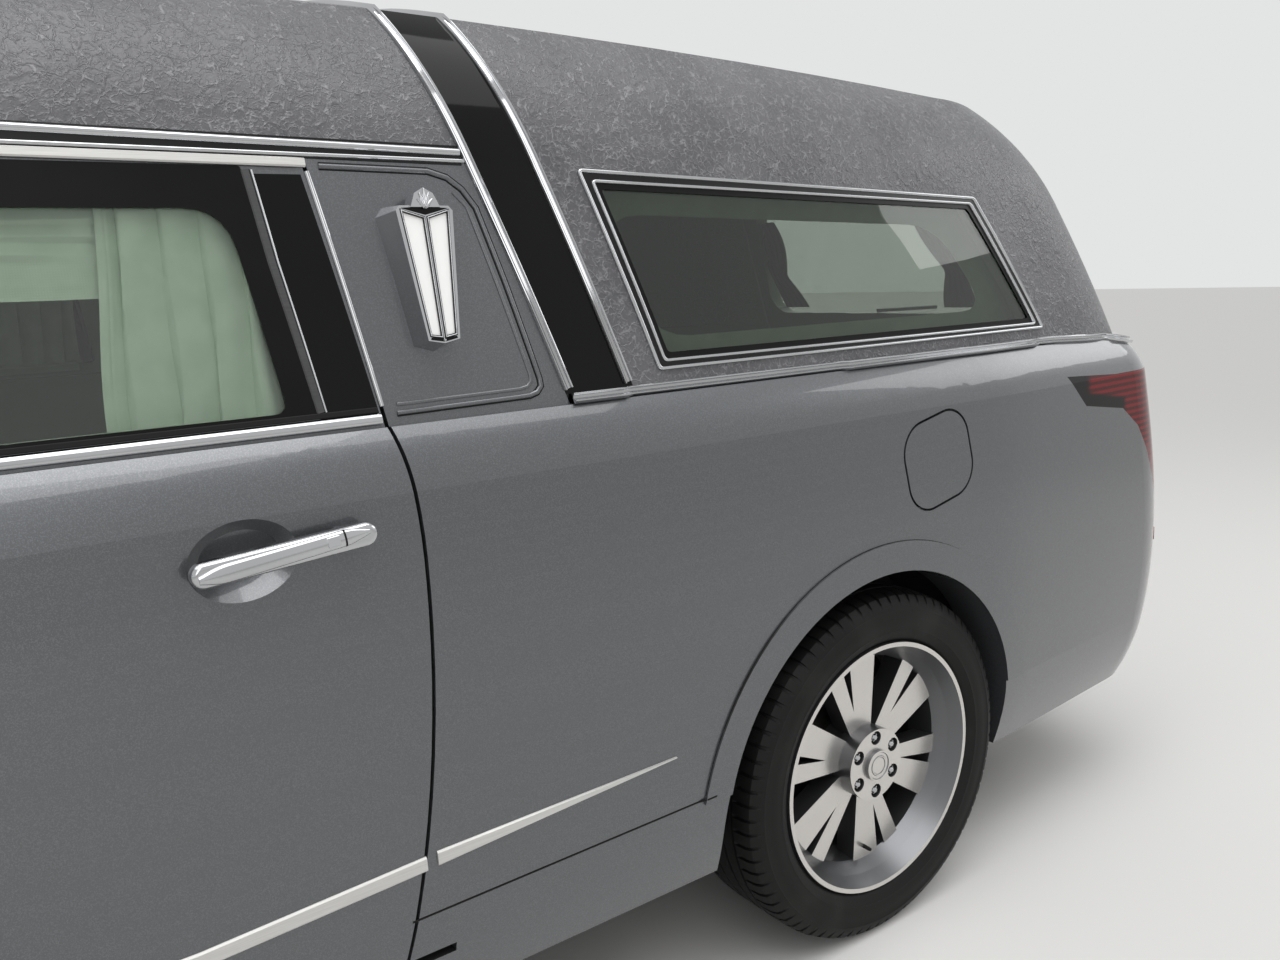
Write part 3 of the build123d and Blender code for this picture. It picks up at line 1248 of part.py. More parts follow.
# Coach lamps on the sail panels: a tapered casing with two lens panels beside a centre rib
COACH_LAMP_TILT = 9
COACH_LAMP_LEAN = 4.4
COACH_LAMP_DEPTH = 38
COACH_LAMP_SINK = 12
LENS_RECESS = 6
LENS_THICKNESS = 4
lamp_plane = Plane(origin=(BELT_HALF_WIDTH - 30, DOOR_REAR + 69, BELT + 215), x_dir=(0, 1, 0),
                   z_dir=(cos(radians(COACH_LAMP_TILT)), 0, sin(radians(COACH_LAMP_TILT))))
lamp_plane = lamp_plane.rotated((0, 0, COACH_LAMP_LEAN))
# Right-hand halves of the outlines, from the top down: at the panel, at the face, and one lens
LAMP_BASE = [(46, 98), (60, 82), (31, -106), (0, -118)]
LAMP_FACE = [(40, 91), (46, 84), (26, -103), (0, -108)]
LAMP_LENS = [(3, 74), (38, 84), (21, -96), (3, -99)]
FINIAL = [(24, 88), (15, 108), (0, 116)]

with BuildPart() as lens_panels:
    with BuildSketch(lamp_plane.offset(COACH_LAMP_DEPTH - LENS_RECESS)):
        for sign in (1, -1):
            with BuildLine():
                Polyline(*[(sign * x, y) for x, y in LAMP_LENS], close=True)
            make_face()
    extrude(amount=LENS_THICKNESS)

with BuildPart() as coach_lamps:
    for height, half in ((-COACH_LAMP_SINK, LAMP_BASE), (COACH_LAMP_DEPTH, LAMP_FACE)):
        with BuildSketch(lamp_plane.offset(height)):
            with BuildLine():
                Polyline(*half, *[(-x, y) for x, y in reversed(half[:-1])], close=True)
            make_face()
    loft(ruled=True)
    with BuildSketch(lamp_plane.offset(COACH_LAMP_DEPTH - LENS_RECESS)):
        for sign in (1, -1):
            with BuildLine():
                Polyline(*[(sign * x, y) for x, y in LAMP_LENS], close=True)
            make_face()
    extrude(amount=2 * LENS_RECESS, mode=Mode.SUBTRACT)
    with BuildSketch(lamp_plane.offset(COACH_LAMP_DEPTH / 2)):
        with BuildLine():
            Polyline(*FINIAL, *[(-x, y) for x, y in reversed(FINIAL[:-1])], close=True)
        make_face()
    extrude(amount=COACH_LAMP_DEPTH / 2 + 4)
    add(front_outer, mode=Mode.SUBTRACT)
    mirror(about=Plane.YZ)
save(coach_lamps.part, "coach_lamps")
save(lens_panels.part + mirror(lens_panels.part, about=Plane.YZ), "coach_lamp_lenses")
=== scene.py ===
"""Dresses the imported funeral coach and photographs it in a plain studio.

Metres throughout. +X is the coach's left, +Y its rear and +Z up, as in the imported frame.
"""

from __future__ import annotations

import json
import logging
import math
from dataclasses import dataclass
from enum import Enum
from typing import Any, Callable, Iterable, Sequence

import bmesh
import bpy
from mathutils import Matrix, Vector
from mathutils.bvhtree import BVHTree

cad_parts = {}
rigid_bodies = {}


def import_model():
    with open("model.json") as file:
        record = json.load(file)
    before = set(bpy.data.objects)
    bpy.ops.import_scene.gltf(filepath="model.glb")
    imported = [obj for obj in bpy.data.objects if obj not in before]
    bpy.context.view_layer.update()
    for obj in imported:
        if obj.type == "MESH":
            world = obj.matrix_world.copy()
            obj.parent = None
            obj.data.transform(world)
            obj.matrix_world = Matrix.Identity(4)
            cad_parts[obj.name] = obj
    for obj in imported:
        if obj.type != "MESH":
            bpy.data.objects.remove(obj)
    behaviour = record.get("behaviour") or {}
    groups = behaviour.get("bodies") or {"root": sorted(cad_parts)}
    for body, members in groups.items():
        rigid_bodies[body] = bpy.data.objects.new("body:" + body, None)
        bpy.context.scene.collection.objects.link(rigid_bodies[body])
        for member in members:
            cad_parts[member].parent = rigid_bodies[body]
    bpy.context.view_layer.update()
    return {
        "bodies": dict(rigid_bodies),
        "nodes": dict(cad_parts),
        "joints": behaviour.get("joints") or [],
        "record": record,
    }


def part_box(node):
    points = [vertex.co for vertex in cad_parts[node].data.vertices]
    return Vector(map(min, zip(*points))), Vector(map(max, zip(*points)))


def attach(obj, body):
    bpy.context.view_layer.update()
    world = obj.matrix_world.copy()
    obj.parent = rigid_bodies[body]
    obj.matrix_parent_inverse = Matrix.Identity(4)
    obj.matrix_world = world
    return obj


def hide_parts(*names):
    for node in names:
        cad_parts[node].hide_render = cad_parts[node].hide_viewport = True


LOG = logging.getLogger("coach")
MM = 0.001
Socket = bpy.types.NodeSocket
Point2 = tuple[float, float]
Point3 = tuple[float, float, float]
Mesh = tuple[list[Vector], list[tuple[int, ...]]]


class Side(Enum):
    """One side of the coach; the value is the sign of its X."""

    LEFT = 1
    RIGHT = -1

    @property
    def label(self) -> str:
        """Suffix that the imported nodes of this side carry."""
        return self.name.lower()


class Row(Enum):
    """One row of wheels and doors; the value is the Y of its axle."""

    REAR = 1.725
    FRONT = -2.075

    @property
    def label(self) -> str:
        """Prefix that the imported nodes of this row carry."""
        return self.name.lower()


class Surface(Enum):
    """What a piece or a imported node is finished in."""

    PAINT = "paint"
    VINYL = "vinyl"
    GLOSS_BLACK = "gloss_black"
    CHROME = "chrome"
    CHROME_AND_PAINT = "chrome_and_paint"
    GLASS = "glass"
    QUARTER_TINT = "quarter_tint"
    LAMP_RED = "lamp_red"
    TAIL_LENS = "tail_lens"
    HEADLAMP = "headlamp"
    LENS_WHITE = "lens_white"
    TRIM_BLACK = "trim_black"
    TRIM_DARK = "trim_dark"
    LEATHER = "leather"
    CURTAIN = "curtain"
    LAMINATE = "laminate"
    RUBBER = "rubber"
    TYRE = "tyre"
    ALLOY = "alloy"
    CAST = "cast"
    STEEL = "steel"
    UNDERBODY = "underbody"
    STRIP = "strip"
    DARK_STRIP = "dark_strip"
    FRIT = "frit"
    LINING = "lining"
    SHADE_CLOTH = "shade_cloth"
    BLANK_PLATE = "blank_plate"


NODE_SURFACE = {
    "quarter_glass": Surface.QUARTER_TINT, "tail_lamps": Surface.TAIL_LENS, "headlamps": Surface.HEADLAMP,
    "coach_lamp_lenses": Surface.LENS_WHITE, "front_door_handle_left": Surface.CHROME_AND_PAINT,
    "front_door_handle_right": Surface.CHROME_AND_PAINT,
}

# Drawing a material

SMOOTH = {"interpolation_type": "SMOOTHSTEP"}
TIMES = {"operation": "MULTIPLY"}
TIMES_AND_PLUS = {"operation": "MULTIPLY_ADD"}
RGBA = {"data_type": "RGBA"}
WAVE_TURN = 6.28
CABIN_AXIS_HEIGHT = 1.05
CABIN_ROUNDNESS = (1.0, 0.12, 1.0)


def linear(colour: str) -> tuple[float, float, float, float]:
    """Turns an sRGB hex colour to linear RGBA.

    Args:
        colour: Six hex digits after a hash sign.

    Returns:
        Linear red, green, blue and an alpha of one.
    """
    channels = [int(colour[i:i + 2], 16) / 255 for i in (1, 3, 5)]
    red, green, blue = (c / 12.92 if c <= 0.04045 else ((c + 0.055) / 1.055) ** 2.4 for c in channels)
    return red, green, blue, 1.0


def per_metre(size_mm: float) -> float:
    """How many features of a size fit in a metre, which is a pattern's scale."""
    return 1000 / size_mm


def sized(point: Socket, size_mm: float, **more: float) -> dict[str, Any]:
    """Returns the inputs of a pattern, looked up at a point, whose features have a size."""
    return {"Vector": point, "Scale": per_metre(size_mm), **more}


@dataclass(frozen=True)
class Canvas:
    """The nodes of one material, and the shader that they feed."""

    tree: bpy.types.NodeTree
    shader: bpy.types.Node

    def add(self, kind: str, inputs: Any = (), output: int | str = 0, **settings: Any) -> Socket:
        """Adds a node with its settings, input values and links.

        Args:
            kind: Type name of the node after its usual prefix.
            inputs: Values, hex colours or the outputs that feed them, in order or by name or number.
            output: Name or number of the output that is asked for.
            **settings: Properties of the node.

        Returns:
            The asked output.
        """
        node = self.tree.nodes.new(f"ShaderNode{kind}")
        for name, value in settings.items():
            setattr(node, name, value)
        for key, value in (inputs if isinstance(inputs, dict) else dict(enumerate(inputs))).items():
            if isinstance(value, Socket):
                self.tree.links.new(value, node.inputs[key])
            else:
                node.inputs[key].default_value = linear(value) if isinstance(value, str) else value
        return node.outputs[output]

    def feed(self, socket: str, source: Socket) -> None:
        """Links an output to one of the shader's sockets."""
        self.tree.links.new(source, self.shader.inputs[socket])

    def place(self, stretch: Point3 = (1, 1, 1)) -> Socket:
        """Finds the point on the object at rest, in metres.

        Args:
            stretch: Factors on X, Y and Z.

        Returns:
            The stretched point.
        """
        point = self.add("TexCoord", output="Object")
        return point if stretch == (1, 1, 1) else self.add("Mapping", {"Vector": point, "Scale": stretch})

    def warped(self, point: Socket, size_mm: float, reach_mm: float) -> Socket:
        """Moves a point about in swirls.

        Args:
            point: The point to move.
            size_mm: Size of a swirl.
            reach_mm: Farthest that the point moves.

        Returns:
            The moved point.
        """
        swirl = self.add("TexNoise", sized(point, size_mm), "Color")
        centred = self.add("VectorMath", (swirl, (0.5, 0.5, 0.5)), operation="SUBTRACT")
        return self.add("VectorMath", (centred, (reach_mm * MM * 2,) * 3, point), **TIMES_AND_PLUS)

    def ridges(self, point: Socket, size_mm: float, width: float) -> Socket:
        """Draws a net of thin ridges.

        Args:
            point: Where the net is looked up.
            size_mm: Distance between ridges.
            width: Share of that distance that a ridge takes.

        Returns:
            One on a ridge and zero between.
        """
        cells = self.add("TexVoronoi", sized(point, size_mm), "Distance", feature="DISTANCE_TO_EDGE")
        return self.add("MapRange", (cells, 0.0, width, 1.0, 0.0), **SMOOTH)

    def facing_in(self) -> Socket:
        """Tells which faces look at the cabin.

        Returns:
            One where a panel faces the cabin's long axis and zero where it faces out.
        """
        from_axis = self.add("VectorMath", (self.place(), (0.0, 0.0, -CABIN_AXIS_HEIGHT)), operation="ADD")
        radial = self.add("VectorMath", (from_axis, CABIN_ROUNDNESS), **TIMES)
        unit = self.add("VectorMath", (radial,), operation="NORMALIZE")
        normal = self.add("TexCoord", output="Normal")
        facing = self.add("VectorMath", (unit, normal), "Value", operation="DOT_PRODUCT")
        return self.add("MapRange", (facing, -0.25, -0.35), **SMOOTH)


# Finishes


@dataclass(frozen=True)
class CabinLining:
    """Cloth on the panels' cabin side, pale and matt, with a dark sprayed coat below and outside the cabin."""

    colour: str = "#8f9c8e"
    lighter: str = "#9da99b"
    coat_colour: str = "#0d0d0d"
    roughness: float = 0.85
    weave_mm: float = 3.0
    lowest: float = 0.86
    firewall: float = -1.49
    reach: float = 0.914

    def colour_at(self, art: Canvas) -> Socket:
        """Places the cloth and the coat by the point on the coach.

        Args:
            art: The material's nodes.

        Returns:
            Colour of the panels' cabin side.
        """
        point = art.place()
        weave = art.add("TexNoise", sized(point, self.weave_mm), "Fac")
        cloth = art.add("Mix", {0: weave, 6: self.colour, 7: self.lighter}, 2, **RGBA)
        across = art.add("Math", (art.add("SeparateXYZ", (point,), "X"),), operation="ABSOLUTE")
        within = art.add("MapRange", (across, self.reach + 0.004, self.reach), **SMOOTH)
        along = art.add("SeparateXYZ", (point,), "Y")
        behind = art.add("MapRange", (along, self.firewall - 0.01, self.firewall), **SMOOTH)
        height = art.add("SeparateXYZ", (point,), "Z")
        above = art.add("MapRange", (height, self.lowest, self.lowest + 0.01), **SMOOTH)
        lined = art.add("Math", (above, art.add("Math", (behind, within), **TIMES)), **TIMES)
        return art.add("Mix", {0: lined, 6: self.coat_colour, 7: cloth}, 2, **RGBA)


@dataclass(frozen=True)
class Finish:
    """A real material and how its surface was made."""

    name: str
    colour: str = "#808080"
    roughness: float = 0.5
    metallic: float = 0.0
    ior: float = 1.5
    coat: float = 0.0
    gloss: float = 0.5

    def build(self) -> bpy.types.Material:
        """Makes the material and lets the finish draw its pattern.

        Returns:
            The new material.
        """
        material = bpy.data.materials.new(self.name)
        material.use_nodes = True
        shader = material.node_tree.nodes["Principled BSDF"]
        shader.inputs["Base Color"].default_value = linear(self.colour)
        shader.inputs["Roughness"].default_value = self.roughness
        shader.inputs["Metallic"].default_value = self.metallic
        shader.inputs["Coat Weight"].default_value = self.coat
        shader.inputs["Coat Roughness"].default_value = 0.03
        shader.inputs["Specular IOR Level"].default_value = self.gloss
        if self.metallic < 0.5:
            shader.inputs["IOR"].default_value = self.ior
        self.pattern(Canvas(material.node_tree, shader))
        return material

    def pattern(self, art: Canvas) -> None:
        """Draws the fine grain and the uneven sheen of a moulded or sprayed surface.

        Args:
            art: The material's nodes.
        """
        point = art.place()
        grain = art.add("TexNoise", sized(point, 2.0, Detail=3.0), "Fac")
        art.feed("Normal", art.add("Bump", {"Strength": 0.4, "Distance": 0.05 * MM, "Height": grain}))
        patches = art.add("TexNoise", sized(point, 90), "Fac")
        spread = (patches, 0.3, 0.7, self.roughness * 0.9, self.roughness * 1.1)
        art.feed("Roughness", art.add("MapRange", spread, **SMOOTH))

    def tint(self, art: Canvas, share: Socket, colour: str) -> None:
        """Mixes another colour into the base colour by share."""
        mixed = art.add("Mix", {0: share, 6: self.colour, 7: colour}, 2, **RGBA)
        art.feed("Base Color", mixed)

    def line(self, art: Canvas, outer: Socket) -> None:
        """Keeps the finish on a panel's outer face and lines its cabin face.

        Args:
            art: The material's nodes.
            outer: Colour of the outer face.
        """
        inside, lining = art.facing_in(), CabinLining()
        art.feed("Base Color", art.add("Mix", {0: inside, 6: outer, 7: lining.colour_at(art)}, 2, **RGBA))
        for socket, without, within in (("Roughness", self.roughness, lining.roughness),
                                        ("Metallic", self.metallic, 0.0), ("Coat Weight", self.coat, 0.0)):
            if without != within:
                art.feed(socket, art.add("MapRange", (inside, 0, 1, without, within), **SMOOTH))


@dataclass(frozen=True)
class MetallicEnamel(Finish):
    """Clear-coated metallic enamel: a fine glitter in a mid-grey base under a wet-looking clear coat."""

    flake_mm: float = 1.1
    flake_colour: str = "#8a8c90"
    flake_strength: float = 0.26
    peel_mm: float = 7.0

    def pattern(self, art: Canvas) -> None:
        """Draws flakes, coarser than real ones so that they show, and the clear coat's orange peel.

        Args:
            art: The material's nodes.
        """
        point = art.place()
        flakes = art.add("TexVoronoi", sized(point, self.flake_mm), "Color")
        level = art.add("SeparateColor", (flakes,))
        share = art.add("MapRange", (level, 0.5, 1.0, 0.0, self.flake_strength), **SMOOTH)
        self.line(art, art.add("Mix", {0: share, 6: self.colour, 7: self.flake_colour}, 2, **RGBA))
        peel = art.add("TexNoise", sized(point, self.peel_mm), "Fac")
        art.feed("Coat Normal", art.add("Bump", {"Strength": 0.12, "Distance": 0.04 * MM, "Height": peel}))


@dataclass(frozen=True)
class CrushedVinyl(Finish):
    """Padded vinyl roof cloth with a crushed grain: a soft sheen and fine ridges in all directions, painted
    paler as a highlight on their crests.
    """

    ridge_colour: str = "#a3a3a6"
    valley_colour: str = "#454548"
    coarse_mm: float = 23.0
    fine_mm: float = 10.0
    crush_mm: float = 21.0
    pebble_mm: float = 2.6
    patch_mm: float = 130.0
    depth_mm: float = 2.2

    def pattern(self, art: Canvas) -> None:
        """Draws two nets of broken ridges with a painted highlight on them, long folds, and the small pebble
        between them.

        Args:
            art: The material's nodes.
        """
        point = art.place()
        bent = art.warped(point, 26, 17)
        curled = art.warped(point, 11, 7)
        coarse = self.broken(art, art.ridges(bent, self.coarse_mm, 0.085), point, 16, (0.42, 0.55))
        fine = self.broken(art, art.ridges(curled, self.fine_mm, 0.13), curled, 9, (0.40, 0.60))
        ridges = art.add("Math", (coarse, art.add("Math", (fine, 0.62), **TIMES)), operation="MAXIMUM")
        crush = art.add("TexNoise", {"Vector": bent, "Scale": per_metre(self.crush_mm), "Detail": 3.0,
                                     "Distortion": 0.5}, "Fac", noise_type="RIDGED_MULTIFRACTAL")
        half_ridges = art.add("Math", (ridges, 0.5), **TIMES)
        folds = art.add("Math", (crush, 1.1, half_ridges), **TIMES_AND_PLUS)
        grain = sized(point, self.pebble_mm, Detail=3.0)
        pebble = art.add("TexNoise", grain, "Fac")
        height = art.add("Math", (pebble, 0.2, folds), **TIMES_AND_PLUS)
        cloudy = sized(point, self.patch_mm, Detail=3.0)
        cloud = art.add("TexNoise", cloudy, "Fac")
        patches = art.add("MapRange", (cloud, 0.3, 0.7, 0.0, 0.55), **SMOOTH)
        ground = art.add("Mix", {0: patches, 6: self.colour, 7: self.valley_colour}, 2, **RGBA)
        # Painted highlight: the ridges are coloured paler, standing in for light catching their crests.
        painted_ridge_highlight = art.add("Math", (ridges, 0.34), **TIMES)
        self.line(art, art.add("Mix", {0: painted_ridge_highlight, 6: ground, 7: self.ridge_colour}, 2, **RGBA))
        bump = {"Strength": 1.0, "Distance": self.depth_mm * MM, "Height": height}
        art.feed("Normal", art.add("Bump", bump))

    def broken(self, art: Canvas, net: Socket, point: Socket, size_mm: float,
               span: Point2) -> Socket:
        """Breaks a net of ridges up into short runs.

        Args:
            art: The material's nodes.
            net: One on a ridge.
            point: Where the breaks are looked up.
            size_mm: Size of a run.
            span: Noise levels between which a ridge fades in.

        Returns:
            One on the ridges that are left.
        """
        runs = art.add("TexNoise", sized(point, size_mm), "Fac")
        return art.add("Math", (net, art.add("MapRange", (runs, *span), **SMOOTH)), **TIMES)


@dataclass(frozen=True)
class PolishedAcrylic(Finish):
    """Deep black acrylic: no grain, only sharp reflections and the lining on its cabin side."""

    haze_colour: str = "#0a0a0b"

    def pattern(self, art: Canvas) -> None:
        """Draws a faint handling haze in the gloss.

        Args:
            art: The material's nodes.
        """
        cloud = art.add("TexNoise", sized(art.place(), 220), "Fac")
        self.line(art, art.add("Mix", {0: cloud, 6: self.colour, 7: self.haze_colour}, 2, **RGBA))


@dataclass(frozen=True)
class ChromePlate(Finish):
    """Bright chromium plate: a mirror with faint polishing haze, and body paint on the mirror housings."""

    duller: str = "#b4b5b7"
    painted_above: float = 9.0
    paint: str = "#5d5f63"
    paint_roughness: float = 0.3

    def pattern(self, art: Canvas) -> None:
        """Varies the roughness a little, as wiping does, and paints what lies above a height.

        Args:
            art: The material's nodes.
        """
        point = art.place()
        wiped = art.add("TexNoise", sized(point, 60, Detail=4.0), "Fac")
        haze = art.add("MapRange", (wiped, 0.3, 0.8, self.roughness, self.roughness * 2.2), **SMOOTH)
        height = art.add("SeparateXYZ", (point,), "Z")
        painted = art.add("MapRange", (height, self.painted_above, self.painted_above + 0.002), **SMOOTH)
        paint_sheen = art.add("Math", (painted, self.paint_roughness), **TIMES)
        art.feed("Roughness", art.add("Math", (haze, paint_sheen), operation="MAXIMUM"))
        cloud = art.add("TexNoise", sized(point, 140), "Fac")
        bright = art.add("Mix", {0: cloud, 6: self.colour, 7: self.duller}, 2, **RGBA)
        art.feed("Base Color", art.add("Mix", {0: painted, 6: bright, 7: self.paint}, 2, **RGBA))


@dataclass(frozen=True)
class FloatGlass(Finish):
    """Float glass with a body tint: clear and smooth, and faintly green at its edges."""

    deeper: str = "#e2e9e2"

    def pattern(self, art: Canvas) -> None:
        """Lets light through, with the slightest unevenness in the tint.

        Args:
            art: The material's nodes.
        """
        art.shader.inputs["Transmission Weight"].default_value = 1.0
        self.tint(art, art.add("TexNoise", sized(art.place(), 300), "Fac"), self.deeper)


@dataclass(frozen=True)
class MouldedLens(Finish):
    """Moulded lamp lens: glossy colour over slanted prisms, with a painted highlight of brighter red along
    them so that it looks deep.
    """

    bright: str = "#b3141c"
    prism_mm: float = 9.0

    def pattern(self, art: Canvas) -> None:
        """Draws the prism lines behind the glossy skin, as bumps and as bands of painted highlight.

        Args:
            art: The material's nodes.
        """
        scale = per_metre(self.prism_mm) / WAVE_TURN
        waves = {"Vector": art.place(), "Scale": scale}
        prisms = art.add("TexWave", waves, "Fac", bands_direction="DIAGONAL")
        # Painted highlight: brighter red along the prism bands stands in for light caught in the prisms.
        self.tint(art, art.add("MapRange", (prisms, 0.2, 0.9, 0.0, 0.6), **SMOOTH), self.bright)
        art.feed("Normal", art.add("Bump", {"Strength": 0.25, "Distance": 0.4 * MM, "Height": prisms}))


@dataclass(frozen=True)
class HeadlampCover(Finish):
    """Headlamp under a clear polycarbonate cover: round bowls in a black housing, coloured pale as a painted
    reflection of their chrome and darker towards the bulb as painted shade, and a pale strip.
    """

    bowl: str = "#b9c0c4"
    strip: str = "#e4e8ea"
    centres: Point2 = (-2.335, -2.195)
    height: float = 0.822
    bowl_radius: float = 0.050
    bulb_share: float = 0.3
    marker_span: Point2 = (-2.10, -1.95)
    strip_foot: float = 0.876
    prism_mm: float = 6.0

    def pattern(self, art: Canvas) -> None:
        """Places the bowls, the side marker and the strip by the way round the corner and the height.

        Args:
            art: The material's nodes.
        """
        point = art.place()
        across = art.add("Math", (art.add("SeparateXYZ", (point,), "X"),), operation="ABSOLUTE")
        along = art.add("Math", (across, art.add("SeparateXYZ", (point,), "Y")), operation="ADD")
        height = art.add("SeparateXYZ", (point,), "Z")
        reaches = [self.reach(art, along, height, centre) for centre in self.centres]
        reach = art.add("Math", reaches, operation="MINIMUM")
        edge = art.add("MapRange", (reach, self.bowl_radius, self.bowl_radius - 0.002), **SMOOTH)
        bulb = self.bulb_share * self.bowl_radius
        # Painted shade and reflection: the bowls are coloured pale for their chrome, fading darker towards the
        # bulb for their depth.
        depth = art.add("MapRange", (reach, bulb, self.bowl_radius, 0.15, 1.0), **SMOOTH)
        marker = art.add("MapRange", (along, *self.marker_span, 0.0, 0.35), **SMOOTH)
        painted_bowls_and_marker = art.add("Math", (art.add("Math", (edge, depth), **TIMES), marker), operation="MAXIMUM")
        lamps = art.add("Mix", {0: painted_bowls_and_marker, 6: self.colour, 7: self.bowl}, 2, **RGBA)
        top = art.add("MapRange", (height, self.strip_foot, self.strip_foot + 0.002), **SMOOTH)
        art.feed("Base Color", art.add("Mix", {0: top, 6: lamps, 7: self.strip}, 2, **RGBA))
        scale = per_metre(self.prism_mm) / WAVE_TURN
        prisms = art.add("TexWave", {"Vector": point, "Scale": scale}, "Fac", bands_direction="DIAGONAL")
        art.feed("Normal", art.add("Bump", {"Strength": 0.1, "Distance": 0.2 * MM, "Height": prisms}))

    def reach(self, art: Canvas, along: Socket, height: Socket,
              centre: float) -> Socket:
        """Measures how far a point is from a bowl's middle.

        Args:
            art: The material's nodes.
            along: Way round the corner.
            height: Height of the point.
            centre: Way round the corner to the bowl.

        Returns:
            The distance.
        """
        off = art.add("Math", (along, centre), operation="SUBTRACT")
        up = art.add("Math", (height, self.height), operation="SUBTRACT")
        squares = art.add("Math", (off, off, art.add("Math", (up, up), **TIMES)), **TIMES_AND_PLUS)
        return art.add("Math", (squares,), operation="SQRT")


@dataclass(frozen=True)
class SmokedTailLens(Finish):
    """Tail lamp of clear and red acrylic over black: smoked front, red crown and red rear leg."""

    smoke: str = "#080506"
    bright: str = "#8e1016"
    pale: str = "#6e2226"
    prism_mm: float = 8.0
    crown_slope: float = 0.16
    crown_span: Point2 = (1.486, 1.498)
    crown_front: Point2 = (2.43, 2.46)
    leg_front: Point2 = (2.60, 2.625)
    foot_span: Point2 = (0.96, 0.90)

    def pattern(self, art: Canvas) -> None:
        """Places smoke, red and the paler foot by the point on the coach, over fine prisms with a painted
        highlight along them.

        Args:
            art: The material's nodes.
        """
        point = art.place()
        along, height = art.add("SeparateXYZ", (point,), "Y"), art.add("SeparateXYZ", (point,), "Z")
        rise = art.add("Math", (along, self.crown_slope, height), **TIMES_AND_PLUS)
        crown = art.add("MapRange", (rise, *self.crown_span), **SMOOTH)
        ahead = art.add("MapRange", (along, *self.crown_front), **SMOOTH)
        leg = art.add("MapRange", (along, *self.leg_front), **SMOOTH)
        red = art.add("Math", (leg, art.add("Math", (crown, ahead), **TIMES)), operation="MAXIMUM")
        scale = per_metre(self.prism_mm) / WAVE_TURN
        prisms = art.add("TexWave", {"Vector": point, "Scale": scale}, "Fac", bands_direction="Z")
        # Painted highlight: brighter red along the prism bands stands in for light caught in the prisms.
        prism_highlight = art.add("MapRange", (prisms, 0.2, 0.9, 0.0, 0.5), **SMOOTH)
        deep = art.add("Mix", {0: prism_highlight, 6: self.colour, 7: self.bright}, 2, **RGBA)
        low = art.add("MapRange", (height, *self.foot_span), **SMOOTH)
        foot = art.add("Mix", {0: low, 6: deep, 7: self.pale}, 2, **RGBA)
        art.feed("Base Color", art.add("Mix", {0: red, 6: self.smoke, 7: foot}, 2, **RGBA))
        shown = art.add("Math", (prisms, red), **TIMES)
        art.feed("Normal", art.add("Bump", {"Strength": 0.2, "Distance": 0.4 * MM, "Height": shown}))


@dataclass(frozen=True)
class MouldedRubber(Finish):
    """Vulcanised rubber: nearly black, dull, with a dusty bloom."""

    bloom: str = "#1d1c1b"

    def pattern(self, art: Canvas) -> None:
        """Draws bloom in patches and a fine moulded grain.

        Args:
            art: The material's nodes.
        """
        point = art.place()
        dust = art.add("TexNoise", sized(point, 120, Detail=5.0), "Fac")
        self.tint(art, art.add("MapRange", (dust, 0.45, 0.8), **SMOOTH), self.bloom)
        grain = art.add("TexNoise", sized(point, 1.5, Detail=4.0), "Fac")
        art.feed("Normal", art.add("Bump", {"Strength": 0.5, "Distance": 0.08 * MM, "Height": grain}))


@dataclass(frozen=True)
class MachinedAlloy(Finish):
    """Cast aluminium wheel: turned bright faces with fine rings, and satin grey painted pockets."""

    turned: str = "#cfccc8"
    turned_lighter: str = "#dedbd7"
    turned_roughness: float = 0.27
    disc: str = "#56534f"
    face_plane: float = 0.862
    disc_plane: float = 0.800

    def pattern(self, art: Canvas) -> None:
        """Brightens the faces that look straight out, and darkens the brake disc deep inside.

        Args:
            art: The material's nodes.
        """
        point = art.place()
        across = art.add("SeparateXYZ", (point,), "X")
        facing = art.add("SeparateXYZ", (art.add("TexCoord", output="Normal"),), "X")
        sign = art.add("Math", (across,), operation="SIGN")
        outward = art.add("Math", (facing, sign), **TIMES)
        reach = art.add("Math", (across,), operation="ABSOLUTE")
        looks_out = art.add("MapRange", (outward, 0.955, 0.968), **SMOOTH)
        far_out = art.add("MapRange", (reach, self.face_plane, self.face_plane + 0.002), **SMOOTH)
        share = art.add("Math", (looks_out, far_out), **TIMES)
        rings = art.add("TexNoise", sized(point, 3.0, Detail=3.0), "Fac")
        bright = art.add("Mix", {0: rings, 6: self.turned, 7: self.turned_lighter}, 2, **RGBA)
        deep = art.add("MapRange", (reach, self.disc_plane, self.disc_plane - 0.002), **SMOOTH)
        inner = art.add("Mix", {0: deep, 6: self.colour, 7: self.disc}, 2, **RGBA)
        art.feed("Base Color", art.add("Mix", {0: share, 6: inner, 7: bright}, 2, **RGBA))
        sheen = (share, 0, 1, self.roughness, self.turned_roughness)
        art.feed("Roughness", art.add("MapRange", sheen, **SMOOTH))


@dataclass(frozen=True)
class BrushedAluminium(Finish):
    """Anodised aluminium strip, brushed lengthwise: pale, with long fine scratches."""

    bright: str = "#dcdbd8"

    def pattern(self, art: Canvas) -> None:
        """Stretches a fine noise along the coach for the brushing.

        Args:
            art: The material's nodes.
        """
        along = art.place((1.0, 0.02, 1.0))
        scratches = art.add("TexNoise", sized(along, 1.4, Detail=3.0), "Fac")
        self.tint(art, scratches, self.bright)
        art.feed("Normal", art.add("Bump", {"Strength": 0.35, "Distance": 0.05 * MM, "Height": scratches}))


